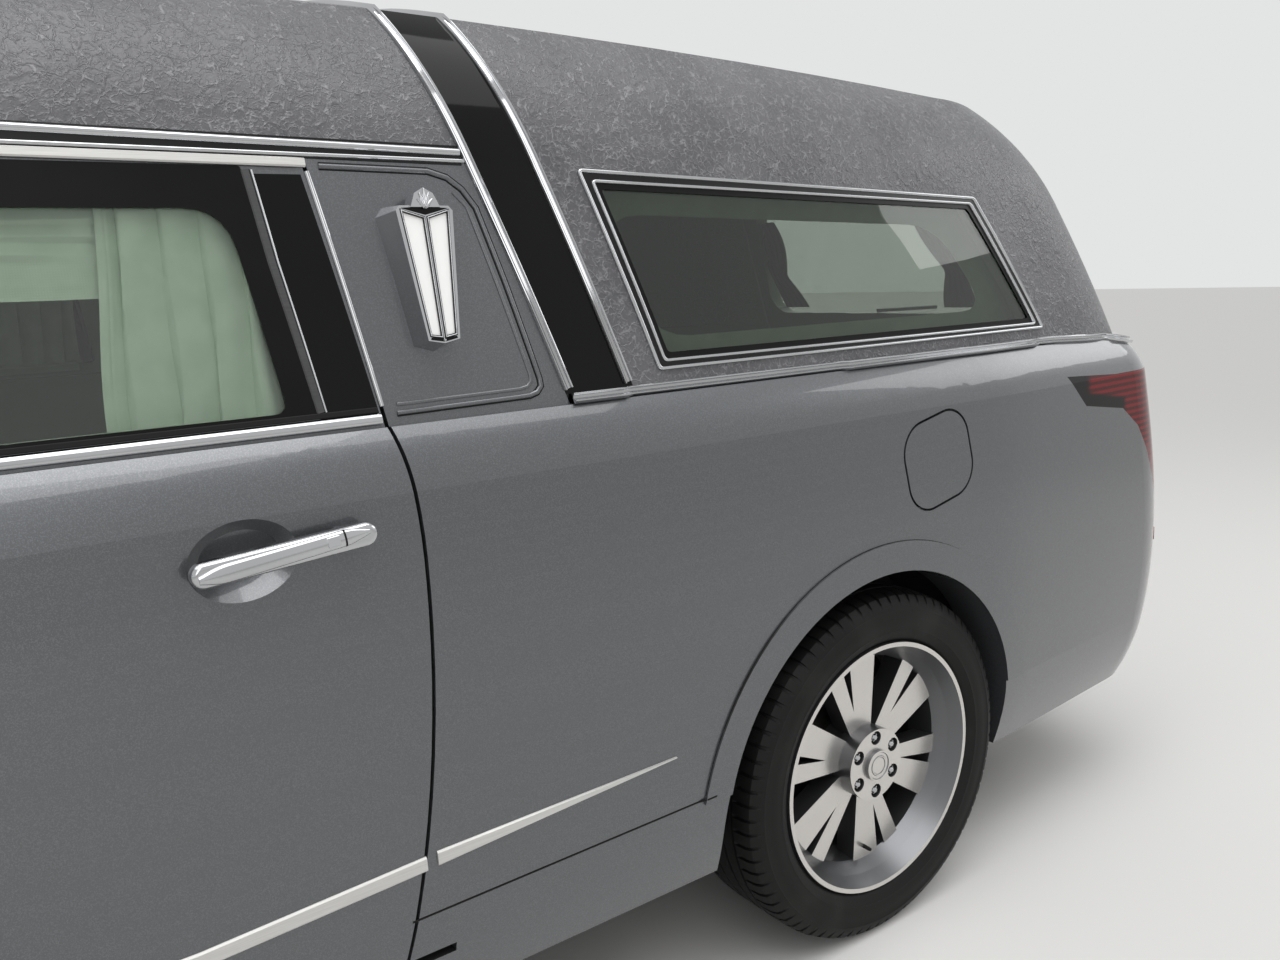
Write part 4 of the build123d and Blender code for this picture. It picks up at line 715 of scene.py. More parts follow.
@dataclass(frozen=True)
class WovenCloth(Finish):
    """Plain woven curtain cloth: soft, matt, with a fine even weave."""

    thread_mm: float = 1.6
    lighter: str = "#c5d5c3"

    def pattern(self, art: Canvas) -> None:
        """Crosses two sets of threads, drawn coarser than real ones so that they show.

        Args:
            art: The material's nodes.
        """
        point = art.place()
        scale = per_metre(self.thread_mm) / WAVE_TURN
        warp, weft = (art.add("TexWave", {"Vector": point, "Scale": scale}, "Fac", bands_direction=direction)
                      for direction in ("Y", "Z"))
        weave = art.add("Math", (warp, weft), **TIMES)
        cloud = art.add("TexNoise", sized(point, 45), "Fac")
        self.tint(art, art.add("MapRange", (cloud, 0.3, 0.7, 0.0, 0.6), **SMOOTH), self.lighter)
        art.feed("Normal", art.add("Bump", {"Strength": 0.3, "Distance": 0.2 * MM, "Height": weave}))
        art.shader.inputs["Sheen Weight"].default_value = 0.15


@dataclass(frozen=True)
class GrainedHide(Finish):
    """Leather or leather-grain vinyl: small pebbles with darker valleys."""

    pebble_mm: float = 3.0
    raised: str = "#29292c"

    def pattern(self, art: Canvas) -> None:
        """Draws the pebble grain.

        Args:
            art: The material's nodes.
        """
        valleys = art.ridges(art.place(), self.pebble_mm, 0.25)
        pebbles = art.add("Math", (1.0, valleys), operation="SUBTRACT")
        self.tint(art, pebbles, self.raised)
        art.feed("Normal", art.add("Bump", {"Strength": 0.5, "Distance": 0.25 * MM, "Height": pebbles}))


@dataclass(frozen=True)
class WoodLaminate(Finish):
    """High-pressure laminate with a printed straight grain: satin, with long brown streaks."""

    streak: str = "#2f2018"

    def pattern(self, art: Canvas) -> None:
        """Stretches noise along the deck for the grain.

        Args:
            art: The material's nodes.
        """
        along = art.place((1.0, 0.06, 1.0))
        grain = {"Vector": along, "Scale": per_metre(22), "Detail": 5.0, "Distortion": 0.4}
        streaks = art.add("TexNoise", grain, "Fac")
        self.tint(art, art.add("MapRange", (streaks, 0.35, 0.7), **SMOOTH), self.streak)


class Finishes:
    """Every finish of the coach, made once."""

    def __init__(self) -> None:
        """Builds the materials."""
        finishes = {
            Surface.PAINT: MetallicEnamel("clear_coated_metallic_enamel", "#585a5d", 0.34, 0.62, coat=1.0),
            Surface.VINYL: CrushedVinyl("crushed_grain_vinyl", "#5d5d60", 0.36),
            Surface.GLOSS_BLACK: PolishedAcrylic("polished_black_acrylic", "#030303", 0.06, ior=1.49,
                                                 gloss=0.2),
            Surface.CHROME: ChromePlate("bright_chromium_plate", "#c6c7c9", 0.05, 1.0),
            Surface.CHROME_AND_PAINT: ChromePlate("chromium_plate_and_enamel", "#c6c7c9", 0.05, 1.0,
                                                  painted_above=1.2),
            Surface.GLASS: FloatGlass("clear_float_glass", "#edf2ed", 0.0, ior=1.52, gloss=0.3),
            Surface.QUARTER_TINT: FloatGlass("tinted_float_glass", "#9fa89e", 0.0, ior=1.52, gloss=0.3,
                                             deeper="#98a197"),
            Surface.LAMP_RED: MouldedLens("moulded_red_acrylic_lens", "#6d0a0f", 0.08, ior=1.49, coat=1.0),
            Surface.TAIL_LENS: SmokedTailLens("smoked_and_red_acrylic_lens", "#45070b", 0.08, ior=1.49,
                                              gloss=0.3),
            Surface.HEADLAMP: HeadlampCover("hard_coated_polycarbonate_cover", "#121416", 0.08, ior=1.58,
                                            gloss=0.4),
            Surface.LENS_WHITE: Finish("opal_acrylic", "#f4f4f2", 0.15, ior=1.49, coat=0.6),
            Surface.TRIM_BLACK: Finish("moulded_gloss_abs", "#090909", 0.28, ior=1.54, gloss=0.3),
            Surface.TRIM_DARK: GrainedHide("grained_moulded_polypropylene", "#151518", 0.6),
            Surface.LEATHER: GrainedHide("stitched_hide", "#17171a", 0.5),
            Surface.CURTAIN: WovenCloth("woven_curtain_cloth", "#b6c8b4", 0.85),
            Surface.LAMINATE: WoodLaminate("printed_grain_laminate", "#5a4331", 0.38),
            Surface.RUBBER: MouldedRubber("vulcanised_rubber", "#0e0e0e", 0.7, gloss=0.3),
            Surface.TYRE: MouldedRubber("tyre_rubber", "#0a0a09", 0.6, gloss=0.25),
            Surface.ALLOY: MachinedAlloy("turned_cast_aluminium", "#6f7072", 0.34, 0.85),
            Surface.CAST: Finish("coated_cast_iron", "#1b1b1b", 0.6, 0.3),
            Surface.STEEL: Finish("drawn_stainless_steel", "#8b8882", 0.35, 1.0),
            Surface.UNDERBODY: Finish("sprayed_underbody_coat", "#101010", 0.8),
            Surface.STRIP: BrushedAluminium("brushed_anodised_aluminium", "#bdbcb9", 0.45, 0.55),
            Surface.DARK_STRIP: BrushedAluminium("dark_anodised_aluminium", "#4a4a4b", 0.34, 0.9,
                                                 bright="#626263"),
            Surface.FRIT: Finish("ceramic_frit_enamel", "#030303", 0.3, gloss=0.2),
            Surface.LINING: WovenCloth("lining_cloth", "#a3b7a0", 0.9, lighter="#b2c5ae"),
            Surface.SHADE_CLOTH: WovenCloth("dark_curtain_cloth", "#1d221e", 0.9, lighter="#2b322c"),
            Surface.BLANK_PLATE: Finish("enamelled_sheet_steel", "#dcdcd8", 0.35, coat=0.5),
        }
        self.materials = {surface: finish.build() for surface, finish in finishes.items()}

    def __getitem__(self, surface: Surface) -> bpy.types.Material:
        """Returns the material of a surface."""
        return self.materials[surface]


# Geometry helpers


@dataclass(frozen=True)
class Spot:
    """A point on the coach's outer surface and the direction that it faces."""

    point: Vector
    normal: Vector

    def lifted(self, distance: float) -> Spot:
        """Returns the spot moved along its normal."""
        return Spot(self.point + self.normal * distance, self.normal)


class Skin:
    """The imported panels' outer surface, found by rays from outside, with glass brought flush."""

    REACH = 3.0
    END_REACH = 5.0
    SPREAD = 0.012
    GLASS_RECESS = 0.002
    STEP = 0.008
    BELT = 1.222
    HOOP_CENTRE = 1.25
    LEAST_FACING = 0.5
    AROUND = ((0.0, 0.0), (-0.009, 0.0), (0.009, 0.0), (0.0, -0.009), (0.0, 0.009))

    def __init__(self, nodes: dict[str, bpy.types.Object], names: Iterable[str]) -> None:
        """Gathers the named nodes' triangles.

        Args:
            nodes: The frame's nodes by name.
            names: Nodes that make up the surface.
        """
        points: list[Vector] = []
        faces: list[tuple[int, ...]] = []
        self.recess: list[float] = []
        for name in names:
            mesh = nodes[name].data
            start = len(points)
            points.extend(v.co.copy() for v in mesh.vertices)
            faces.extend(tuple(start + i for i in polygon.vertices) for polygon in mesh.polygons)
            depth = self.GLASS_RECESS if "glass" in name else 0.0
            self.recess.extend([depth] * len(mesh.polygons))
        self.tree = BVHTree.FromPolygons(points, faces)

    def cast(self, origin: Vector, direction: Vector) -> Vector:
        """Finds where a ray first meets the surface.

        Args:
            origin: Where the ray starts.
            direction: Where it goes.

        Returns:
            The point that it meets, or its far end if it misses.
        """
        hit, _, index, _ = self.tree.ray_cast(origin, direction)
        if hit is None:
            return origin + direction * self.REACH
        return hit - direction.normalized() * self.recess[index]

    def _spot(self, sample: Callable[[float, float], Vector], a: float, b: float, outward: Vector) -> Spot:
        """Works out the surface's normal from samples on both sides of a point.

        Args:
            sample: Gives the surface's point at two coordinates.
            a: First coordinate.
            b: Second coordinate.
            outward: Roughly the way that the surface faces.

        Returns:
            The point and its normal.
        """
        point, spread = sample(a, b), self.SPREAD
        across = sample(a + spread, b) - sample(a - spread, b)
        along = sample(a, b + spread) - sample(a, b - spread)
        normal = across.cross(along)
        normal = normal.normalized() if normal.length > 1e-9 else outward.copy()
        if normal.dot(outward) < 0:
            normal.negate()
        return Spot(point, outward.copy() if normal.dot(outward) < self.LEAST_FACING else normal)

    def side(self, y: float, z: float) -> Spot:
        """Finds the left side's surface, carried over the gaps between panels.

        Args:
            y: Place along the coach.
            z: Height.

        Returns:
            The surface at that place of the side view.
        """
        def sample(a: float, b: float) -> Vector:
            """Finds the surface at a place, or beside it where the place is in a gap.

            Args:
                a: Place along the coach.
                b: Height.

            Returns:
                The point.
            """
            reach = [self.cast(Vector((self.REACH, a + along, b + up)), Vector((-1, 0, 0))).x
                     for along, up in self.AROUND]
            outermost = max(reach)
            return Vector((reach[0] if reach[0] > outermost - self.STEP else outermost, a, b))
        return self._spot(sample, y, z, Vector((1, 0, 0)))

    def hoop(self, foot: float, lean: float, angle: float) -> Spot:
        """Finds the surface in a leaning cross-section.

        Args:
            foot: Place along the coach where the section meets the belt.
            lean: Lean of the section, in radians.
            angle: Angle from the left over the roof, in radians.

        Returns:
            The surface at that angle.
        """
        up = Vector((0, -math.sin(lean), math.cos(lean)))

        def sample(a: float, b: float) -> Vector:
            """Finds the surface in the section when it is moved along.

            Args:
                a: Angle over the roof.
                b: Distance that the section moves.

            Returns:
                The point.
            """
            ray = Vector((math.cos(a), 0, 0)) + up * math.sin(a)
            centre = Vector((0, foot + b, self.BELT)) + up * (self.HOOP_CENTRE - self.BELT) / math.cos(lean)
            return self.cast(centre + ray * self.REACH, -ray)
        return self._spot(sample, angle, 0.0, Vector((math.cos(angle), 0, 0)) + up * math.sin(angle))

    def tail(self, x: float, z: float) -> Spot:
        """Returns the rear surface at a place of the rear view."""
        return self._end(x, z, 1)

    def nose(self, x: float, z: float) -> Spot:
        """Returns the front surface at a place of the front view."""
        return self._end(x, z, -1)

    def _end(self, x: float, z: float, facing: int) -> Spot:
        """Finds the rear or the front surface.

        Args:
            x: Place across the coach.
            z: Height.
            facing: One for the rear and minus one for the front.

        Returns:
            The surface at that place.
        """
        def sample(a: float, b: float) -> Vector:
            """Returns the surface at a place of the end view."""
            return self.cast(Vector((a, self.END_REACH * facing, b)), Vector((0, -facing, 0)))
        return self._spot(sample, x, z, Vector((0, facing, 0)))


def trace(points: Sequence[Point2], step: float = 0.02, closed: bool = False) -> list[Point2]:
    """Divides straight runs into steps, keeping every corner.

    Args:
        points: Corners in order.
        step: Longest distance between two points.
        closed: Whether the last corner joins the first.

    Returns:
        The corners with the points between them.
    """
    corners = list(points) + ([points[0]] if closed else [])
    out: list[Point2] = [corners[0]]
    for (y0, z0), (y1, z1) in zip(corners, corners[1:]):
        count = max(1, math.ceil(math.hypot(y1 - y0, z1 - z0) / step))
        out.extend((y0 + (y1 - y0) * i / count, z0 + (z1 - z0) * i / count) for i in range(1, count + 1))
    return out[:-1] if closed else out


def rounded(corners: Sequence[Point2], radii: Sequence[float], arc_steps: int = 5,
            run_steps: int = 16) -> list[Point2]:
    """Rounds a closed outline's corners, with the same number of points whatever its size.

    Args:
        corners: Corners in order.
        radii: Distance from each corner at which its arc starts.
        arc_steps: Steps in an arc.
        run_steps: Steps in the run that follows it.

    Returns:
        The outline's points, so that two outlines with as many corners match point for point.
    """
    count = len(corners)
    arcs = []
    for i, corner in enumerate(corners):
        here, back, ahead = Vector(corner), Vector(corners[i - 1]), Vector(corners[(i + 1) % count])
        reach = min(radii[i], (back - here).length * 0.45, (ahead - here).length * 0.45)
        start = here + (back - here).normalized() * reach
        end = here + (ahead - here).normalized() * reach
        arcs.append([start * (1 - t) ** 2 + here * 2 * t * (1 - t) + end * t ** 2
                     for t in (k / arc_steps for k in range(arc_steps + 1))])
    out: list[Point2] = []
    for i, arc in enumerate(arcs):
        out.extend((p.x, p.y) for p in arc)
        start, end = arc[-1], arcs[(i + 1) % count][0]
        out.extend(tuple(start.lerp(end, k / run_steps)) for k in range(1, run_steps))
    return out


def between(first: Sequence[Point2], second: Sequence[Point2], share: float) -> list[Point2]:
    """Returns the outline that lies share of the way from the first to the second."""
    return [(a[0] + (b[0] - a[0]) * share, a[1] + (b[1] - a[1]) * share) for a, b in zip(first, second)]


def run(sample: Callable[[float, float], Spot], start: Point2, reach: Point2, steps: int) -> list[Spot]:
    """Samples a surface along a straight line.

    Args:
        sample: Gives the surface at two coordinates.
        start: Coordinates of the first spot.
        reach: Distances from the first spot to the last.
        steps: Steps between them.

    Returns:
        The spots in order.
    """
    return [sample(start[0] + reach[0] * i / steps, start[1] + reach[1] * i / steps)
            for i in range(steps + 1)]


def grid(sample: Callable[[float, float], Spot], start: Point2, reach: Point2, columns: int,
         rows: int) -> list[list[Spot]]:
    """Samples a surface over a rectangle.

    Args:
        sample: Gives the surface at two coordinates.
        start: Coordinates of the first corner.
        reach: Width and height of the rectangle.
        columns: Steps across.
        rows: Steps up.

    Returns:
        One line of spots for each row.
    """
    return [run(sample, (start[0], start[1] + reach[1] * j / rows), (reach[0], 0.0), columns)
            for j in range(rows + 1)]


def sheet_faces(rows: int, columns: int) -> list[tuple[int, ...]]:
    """Joins the points of a grid into quads, row by row."""
    wide = columns + 1
    return [(j * wide + i, j * wide + i + 1, (j + 1) * wide + i + 1, (j + 1) * wide + i)
            for j in range(rows) for i in range(columns)]


SHARPEST_MITRE = 0.35
SHEET_ROOT = 0.0008
PROFILE_ROOT = -0.001


def sweep(spots: Sequence[Spot], profile: Sequence[Point2], closed: bool = False,
          widths: Sequence[float] | None = None) -> Mesh:
    """Runs a profile along a line of spots, with mitred corners.

    Args:
        spots: Points and normals in order.
        profile: Across and outward distances of the profile's points.
        closed: Whether the line is a loop.
        widths: Factor on the across distance at each spot.

    Returns:
        Vertices and faces of the swept solid.
    """
    count, size = len(spots), len(profile)
    points: list[Vector] = []
    for i, spot in enumerate(spots):
        before = spots[i - 1].point if closed or i else None
        after = spots[(i + 1) % count].point if closed or i < count - 1 else None
        ahead = (after - spot.point).normalized() if after is not None else (spot.point - before).normalized()
        back = (spot.point - before).normalized() if before is not None else ahead
        tangent = (ahead + back).normalized()
        mitre = 1 / max(SHARPEST_MITRE, tangent.dot(ahead))
        across = spot.normal.cross(tangent).normalized()
        factor = mitre * (widths[i] if widths else 1.0)
        points.extend(spot.point + across * (u * factor) + spot.normal * v for u, v in profile)
    faces: list[tuple[int, ...]] = []
    for i in range(count if closed else count - 1):
        j = (i + 1) % count
        for k in range(size):
            m = (k + 1) % size
            faces.append((i * size + k, j * size + k, j * size + m, i * size + m))
    if not closed:
        faces.append(tuple(range(size)))
        faces.append(tuple((count - 1) * size + k for k in reversed(range(size))))
    return points, faces


def plate(rows: Sequence[Sequence[Spot]], thickness: float, closed: bool = True) -> Mesh:
    """Fills the surface between lines of spots with a thin solid sheet.

    Args:
        rows: Lines with the same number of spots, side by side.
        thickness: Distance from the surface to the sheet's outer face.
        closed: Whether each line is a loop.

    Returns:
        Vertices and faces of the sheet.
    """
    size, last = len(rows[0]), (len(rows) - 1) * len(rows[0])
    points = [s.point + s.normal * thickness for row in rows for s in row]
    base = len(points)
    points += [s.point - s.normal * SHEET_ROOT for row in rows for s in row]
    faces: list[tuple[int, ...]] = []
    for k in range(size if closed else size - 1):
        m = (k + 1) % size
        for start in range(0, last, size):
            quad = (start + k, start + m, start + size + m, start + size + k)
            faces.append(quad)
            faces.append(tuple(base + i for i in reversed(quad)))
        faces.append((k, base + k, base + m, m))
        faces.append((last + k, last + m, base + last + m, base + last + k))
    if not closed:
        for start in range(0, last, size):
            for end in (0, size - 1):
                faces.append((start + end, start + size + end, base + start + size + end, base + start + end))
    return points, faces


def turned(centre: Vector, profile: Sequence[Point2], steps: int = 32) -> Mesh:
    """Turns a profile about an axis along X.

    Args:
        centre: Middle of the axis.
        profile: Radius and distance along X; a radius of zero closes an end.
        steps: Steps round the axis.

    Returns:
        Vertices and faces of the turned form.
    """
    points: list[Vector] = []
    rings: list[list[int]] = []
    for radius, along in profile:
        if radius == 0:
            points.append(centre + Vector((along, 0, 0)))
            rings.append([len(points) - 1] * steps)
            continue
        start = len(points)
        points.extend(centre + Vector((along, radius * math.cos(a), radius * math.sin(a)))
                      for a in (2 * math.pi * k / steps for k in range(steps)))
        rings.append(list(range(start, start + steps)))
    faces: list[tuple[int, ...]] = []
    for first, second in zip(rings, rings[1:]):
        for k in range(steps):
            m = (k + 1) % steps
            corners = (first[k], first[m], second[m], second[k])
            faces.append(tuple(dict.fromkeys(corners)))
    return points, faces


def joined(parts: Iterable[Mesh]) -> Mesh:
    """Puts several meshes into one.

    Args:
        parts: Vertices and faces of each.

    Returns:
        Vertices and faces of all.
    """
    points: list[Vector] = []
    faces: list[tuple[int, ...]] = []
    for more, rings in parts:
        start = len(points)
        points.extend(more)
        faces.extend(tuple(start + i for i in ring) for ring in rings)
    return points, faces


def bead(width_mm: float, height_mm: float, steps: int = 8) -> list[Point2]:
    """Draws a half-round profile that stands on the surface.

    Args:
        width_mm: Width of the bead.
        height_mm: Height of its crown.
        steps: Steps over the crown.

    Returns:
        Across and outward distances.
    """
    half, rise = width_mm * MM / 2, height_mm * MM
    arc = [(-half * math.cos(math.pi * k / steps), rise * math.sin(math.pi * k / steps))
           for k in range(steps + 1)]
    return [(-half, PROFILE_ROOT)] + arc + [(half, PROFILE_ROOT)]


def twin_bead(width_mm: float, height_mm: float) -> list[Point2]:
    """Draws two rounded beads with a groove between them.

    Args:
        width_mm: Width of both.
        height_mm: Height of their crowns.

    Returns:
        Across and outward distances.
    """
    half, rise = width_mm * MM / 2, height_mm * MM
    crown = [(0.08, 0.55), (0.2, 0.9), (0.36, 1.0), (0.5, 0.85), (0.62, 0.35)]
    left = [(-half, PROFILE_ROOT), (-half, rise * 0.2)] + [(-half * (1 - u), rise * v) for u, v in crown]
    return left + [(0.0, rise * 0.1)] + [(-u, v) for u, v in reversed(left)]


def flat_strip(width_mm: float, height_mm: float) -> list[Point2]:
    """Draws a flat strip with eased edges.

    Args:
        width_mm: Width of the strip.
        height_mm: Height of its face.

    Returns:
        Across and outward distances.
    """
    half, rise = width_mm * MM / 2, height_mm * MM
    ease = min(half * 0.3, rise * 0.7)
    left = [(-half, PROFILE_ROOT), (-half, rise - ease), (-half + ease, rise)]
    return left + [(-u, v) for u, v in reversed(left)]


@dataclass(frozen=True)
class Strip:
    """A profile laid along a side-view route, which narrows by a share of its width towards its end."""

    name: str
    surface: Surface
    route: Sequence[Point2]
    profile: Sequence[Point2]
    lift: float = 0.0
    step: float = 0.02
    taper: float = 0.0


class Workshop:
    """Makes pieces: holds the frame, the outer surface and the finishes."""

    HIDDEN = ("floor_pan", "engine", "curtains", "front_seats", "dashboard", "casket_deck", "deck_rollers",
              "exhaust", "rear_axle", "front_subframe", "fuel_tank", "coach_lamps", "coach_lamp_lenses")
    APART = ("wheel", "tyre", "knuckle", "handle")

    def __init__(self, frame: dict[str, Any]) -> None:
        """Reads the frame and builds what every sub-assembly needs.

        Args:
            frame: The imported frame.
        """
        self.nodes = frame["nodes"]
        self.finishes = Finishes()
        panels = [n for n in self.nodes if n not in self.HIDDEN and not any(w in n for w in self.APART)]
        self.skin = Skin(self.nodes, panels)
        self.slots = {row["node"]: row["material_slot"] for row in frame["record"]["subparts"]}
        self.count = 0

    def dress(self, mesh: bpy.types.Mesh, surface: Surface, sharp: float) -> None:
        """Gives a mesh its finish and crisp edges.

        Args:
            mesh: The mesh.
            surface: Its finish.
            sharp: Edges that turn by more degrees than this stay sharp.
        """
        mesh.materials.clear()
        mesh.materials.append(self.finishes[surface])
        mesh.polygons.foreach_set("use_smooth", [True] * len(mesh.polygons))
        mesh.set_sharp_from_angle(angle=math.radians(sharp))

    def dress_nodes(self) -> None:
        """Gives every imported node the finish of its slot, or its own."""
        for name, slot in self.slots.items():
            surface = NODE_SURFACE[name] if name in NODE_SURFACE else Surface(slot)
            self.dress(self.nodes[name].data, surface, 30.0)

    def piece(self, name: str, body: str, surface: Surface, mesh: Mesh, side: Side = Side.LEFT,
              sharp: float = 38.0) -> bpy.types.Object:
        """Makes one mesh piece and lets it ride on a body.

        Args:
            name: Name of the piece.
            body: Body that carries it.
            surface: Its finish.
            mesh: Vertices and faces on the left side of the coach.
            side: The right side mirrors the vertices.
            sharp: Edges that turn by more degrees than this stay sharp.

        Returns:
            The new object.
        """
        points, faces = mesh
        data = bpy.data.meshes.new(name)
        data.from_pydata([(p.x * side.value, p.y, p.z) for p in points], [], [tuple(f) for f in faces])
        work = bmesh.new()
        work.from_mesh(data)
        bmesh.ops.recalc_face_normals(work, faces=work.faces)
        work.to_mesh(data)
        work.free()
        self.dress(data, surface, sharp)
        piece = bpy.data.objects.new(name, data)
        bpy.context.scene.collection.objects.link(piece)
        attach(piece, body)
        self.count += 1
        LOG.info("made %s on %s, %d faces", name, body, len(data.polygons))
        return piece

    def lay(self, body: str, side: Side, *strips: Strip) -> None:
        """Lays strips on the coach's side.

        Args:
            body: Body that carries them.
            side: Side of the coach.
            *strips: The strips.
        """
        for strip in strips:
            spots = [self.skin.side(y, z).lifted(strip.lift) for y, z in trace(strip.route, strip.step)]
            widths = [1 - strip.taper * (i / (len(spots) - 1)) for i in range(len(spots))]
            self.piece(f"{strip.name}_{side.label}", body, strip.surface,
                       sweep(spots, strip.profile, widths=widths), side)

    def panel(self, name: str, body: str, surface: Surface, outlines: Sequence[Sequence[Point2]],
              thickness: float, side: Side) -> None:
        """Lays a thin sheet between side-view outlines on the coach's side.

        Args:
            name: Name of the piece.
            body: Body that carries it.
            surface: Its finish.
            outlines: Closed lines of Y and Z with as many points each, side by side.
            thickness: Height of the sheet above the surface.
            side: Side of the coach.
        """
        rows = [[self.skin.side(y, z) for y, z in outline] for outline in outlines]
        self.piece(name, body, surface, plate(rows, thickness), side)


# Sub-assemblies


@dataclass
class RoofTrim:
    """Bright mouldings that edge the vinyl roof and its slanted black band."""

    shop: Workshop
    foot: float = 1.020
    width: float = 0.132
    lean: float = math.radians(18.8)
    edge_inset: float = 0.008
    belt_height: float = 1.231
    strips: tuple[Strip, ...] = (
        Strip("drip_moulding", Surface.CHROME,
              ((-0.84, 1.629), (-0.375, 1.629), (0.275, 1.629), (0.885, 1.615)), bead(12, 6)),
        # Painted shadow: this black strip stands in for the shade in the gap between the drip mouldings and
        # along the vinyl's edge.
        Strip("drip_channel", Surface.TRIM_BLACK,
              ((-0.85, 1.622), (-0.375, 1.622), (0.275, 1.622), (0.887, 1.610)), flat_strip(30, 1.2)),
        Strip("drip_rail", Surface.CHROME,
              ((-0.86, 1.6105), (-0.375, 1.6105), (0.275, 1.6105), (0.893, 1.602)), bead(7, 4.5)),
        Strip("belt_moulding", Surface.CHROME,
              ((1.022, 1.231), (2.35, 1.231), (2.59, 1.221), (2.728, 1.203)), twin_bead(18, 7)))
    steps: int = 110
    overrun: float = 0.033
    belt_overlap: float = 0.007
    crown_sink: float = 0.0062
    crown_depth: float = 0.06

    def build(self) -> None:
        """Lays the band's two edges, the drip mouldings and the belt mouldings."""
        for name, offset in (("front", self.edge_inset), ("rear", self.width - self.edge_inset)):
            self.band_edge(name, self.foot + offset)
        for side in Side:
            self.shop.lay("body", side, *self.strips)

    def band_edge(self, name: str, foot: float) -> None:
        """Lays one bright moulding over the roof from belt to belt.

        Args:
            name: Which edge of the band it is.
            foot: Place along the coach where it meets the belt.
        """
        low = -self.overrun
        angles = (low + (math.pi - 2 * low) * k / self.steps for k in range(self.steps + 1))
        spots = [self.shop.skin.hoop(foot, self.lean, angle) for angle in angles]
        spots = [s for s in spots if s.point.z > self.belt_height - self.belt_overlap]
        top = max(s.point.z for s in spots)
        sinks = [max(0.0, 1 - (top - s.point.z) / self.crown_depth) for s in spots]
        spots = [s.lifted(-self.crown_sink * sink) for s, sink in zip(spots, sinks)]
        self.shop.piece(f"band_edge_{name}", "body", Surface.CHROME, sweep(spots, twin_bead(17, 7)))


@dataclass
class QuarterWindow:
    """Bright double frame, black border and pale moulded inner surround of the long rear side window."""

    shop: Workshop
    outer: tuple[Point2, ...] = ((1.094, 1.592), (2.116, 1.553), (2.314, 1.263), (1.204, 1.263))
    inner: tuple[Point2, ...] = ((1.117, 1.575), (2.101, 1.541), (2.286, 1.273), (1.216, 1.276))
    clear: tuple[Point2, ...] = ((1.134, 1.562), (2.090, 1.530), (2.264, 1.286), (1.226, 1.289))
    surround: tuple[Point2, ...] = ((1.060, 1.594), (2.165, 1.572), (2.400, 1.240), (1.140, 1.240))
    opening: tuple[Point2, ...] = ((1.165, 1.540), (2.060, 1.512), (2.205, 1.318), (1.245, 1.318))
    moulding: tuple[Point2, ...] = ((0.0, -0.050), (0.35, -0.054), (0.75, -0.058), (1.0, -0.070))
    corner: float = 0.008
    surround_corner: float = 0.05
    opening_corner: float = 0.09

    def build(self) -> None:
        """Frames the window on each side."""
        lines = ((self.outer, self.corner), (self.inner, self.corner), (self.clear, self.corner),
                 (self.surround, self.surround_corner), (self.opening, self.opening_corner))
        outer, inner, clear, around, opening = (rounded(line, (radius,) * 4, run_steps=40)
                                                for line, radius in lines)
        for side in Side:
            tag, shop = side.label, self.shop
            skin = shop.skin
            for name, line, width in (("outer", outer, 8), ("inner", inner, 7)):
                spots = [skin.side(y, z) for y, z in line]
                shop.piece(f"quarter_window_{name}_bead_{tag}", "body", Surface.CHROME,
                           sweep(spots, bead(width, 6), closed=True), side)
            shop.panel(f"quarter_window_channel_{tag}", "body", Surface.TRIM_BLACK, (outer, inner), 0.002,
                       side)
            shop.panel(f"quarter_window_border_{tag}", "body", Surface.FRIT, (inner, clear), 0.0006, side)
            rows = [[skin.side(y, z).lifted(depth) for y, z in between(around, opening, share)]
                    for share, depth in self.moulding]
            shop.piece(f"quarter_window_surround_{tag}", "body", Surface.LINING, plate(rows, 0.0), side)


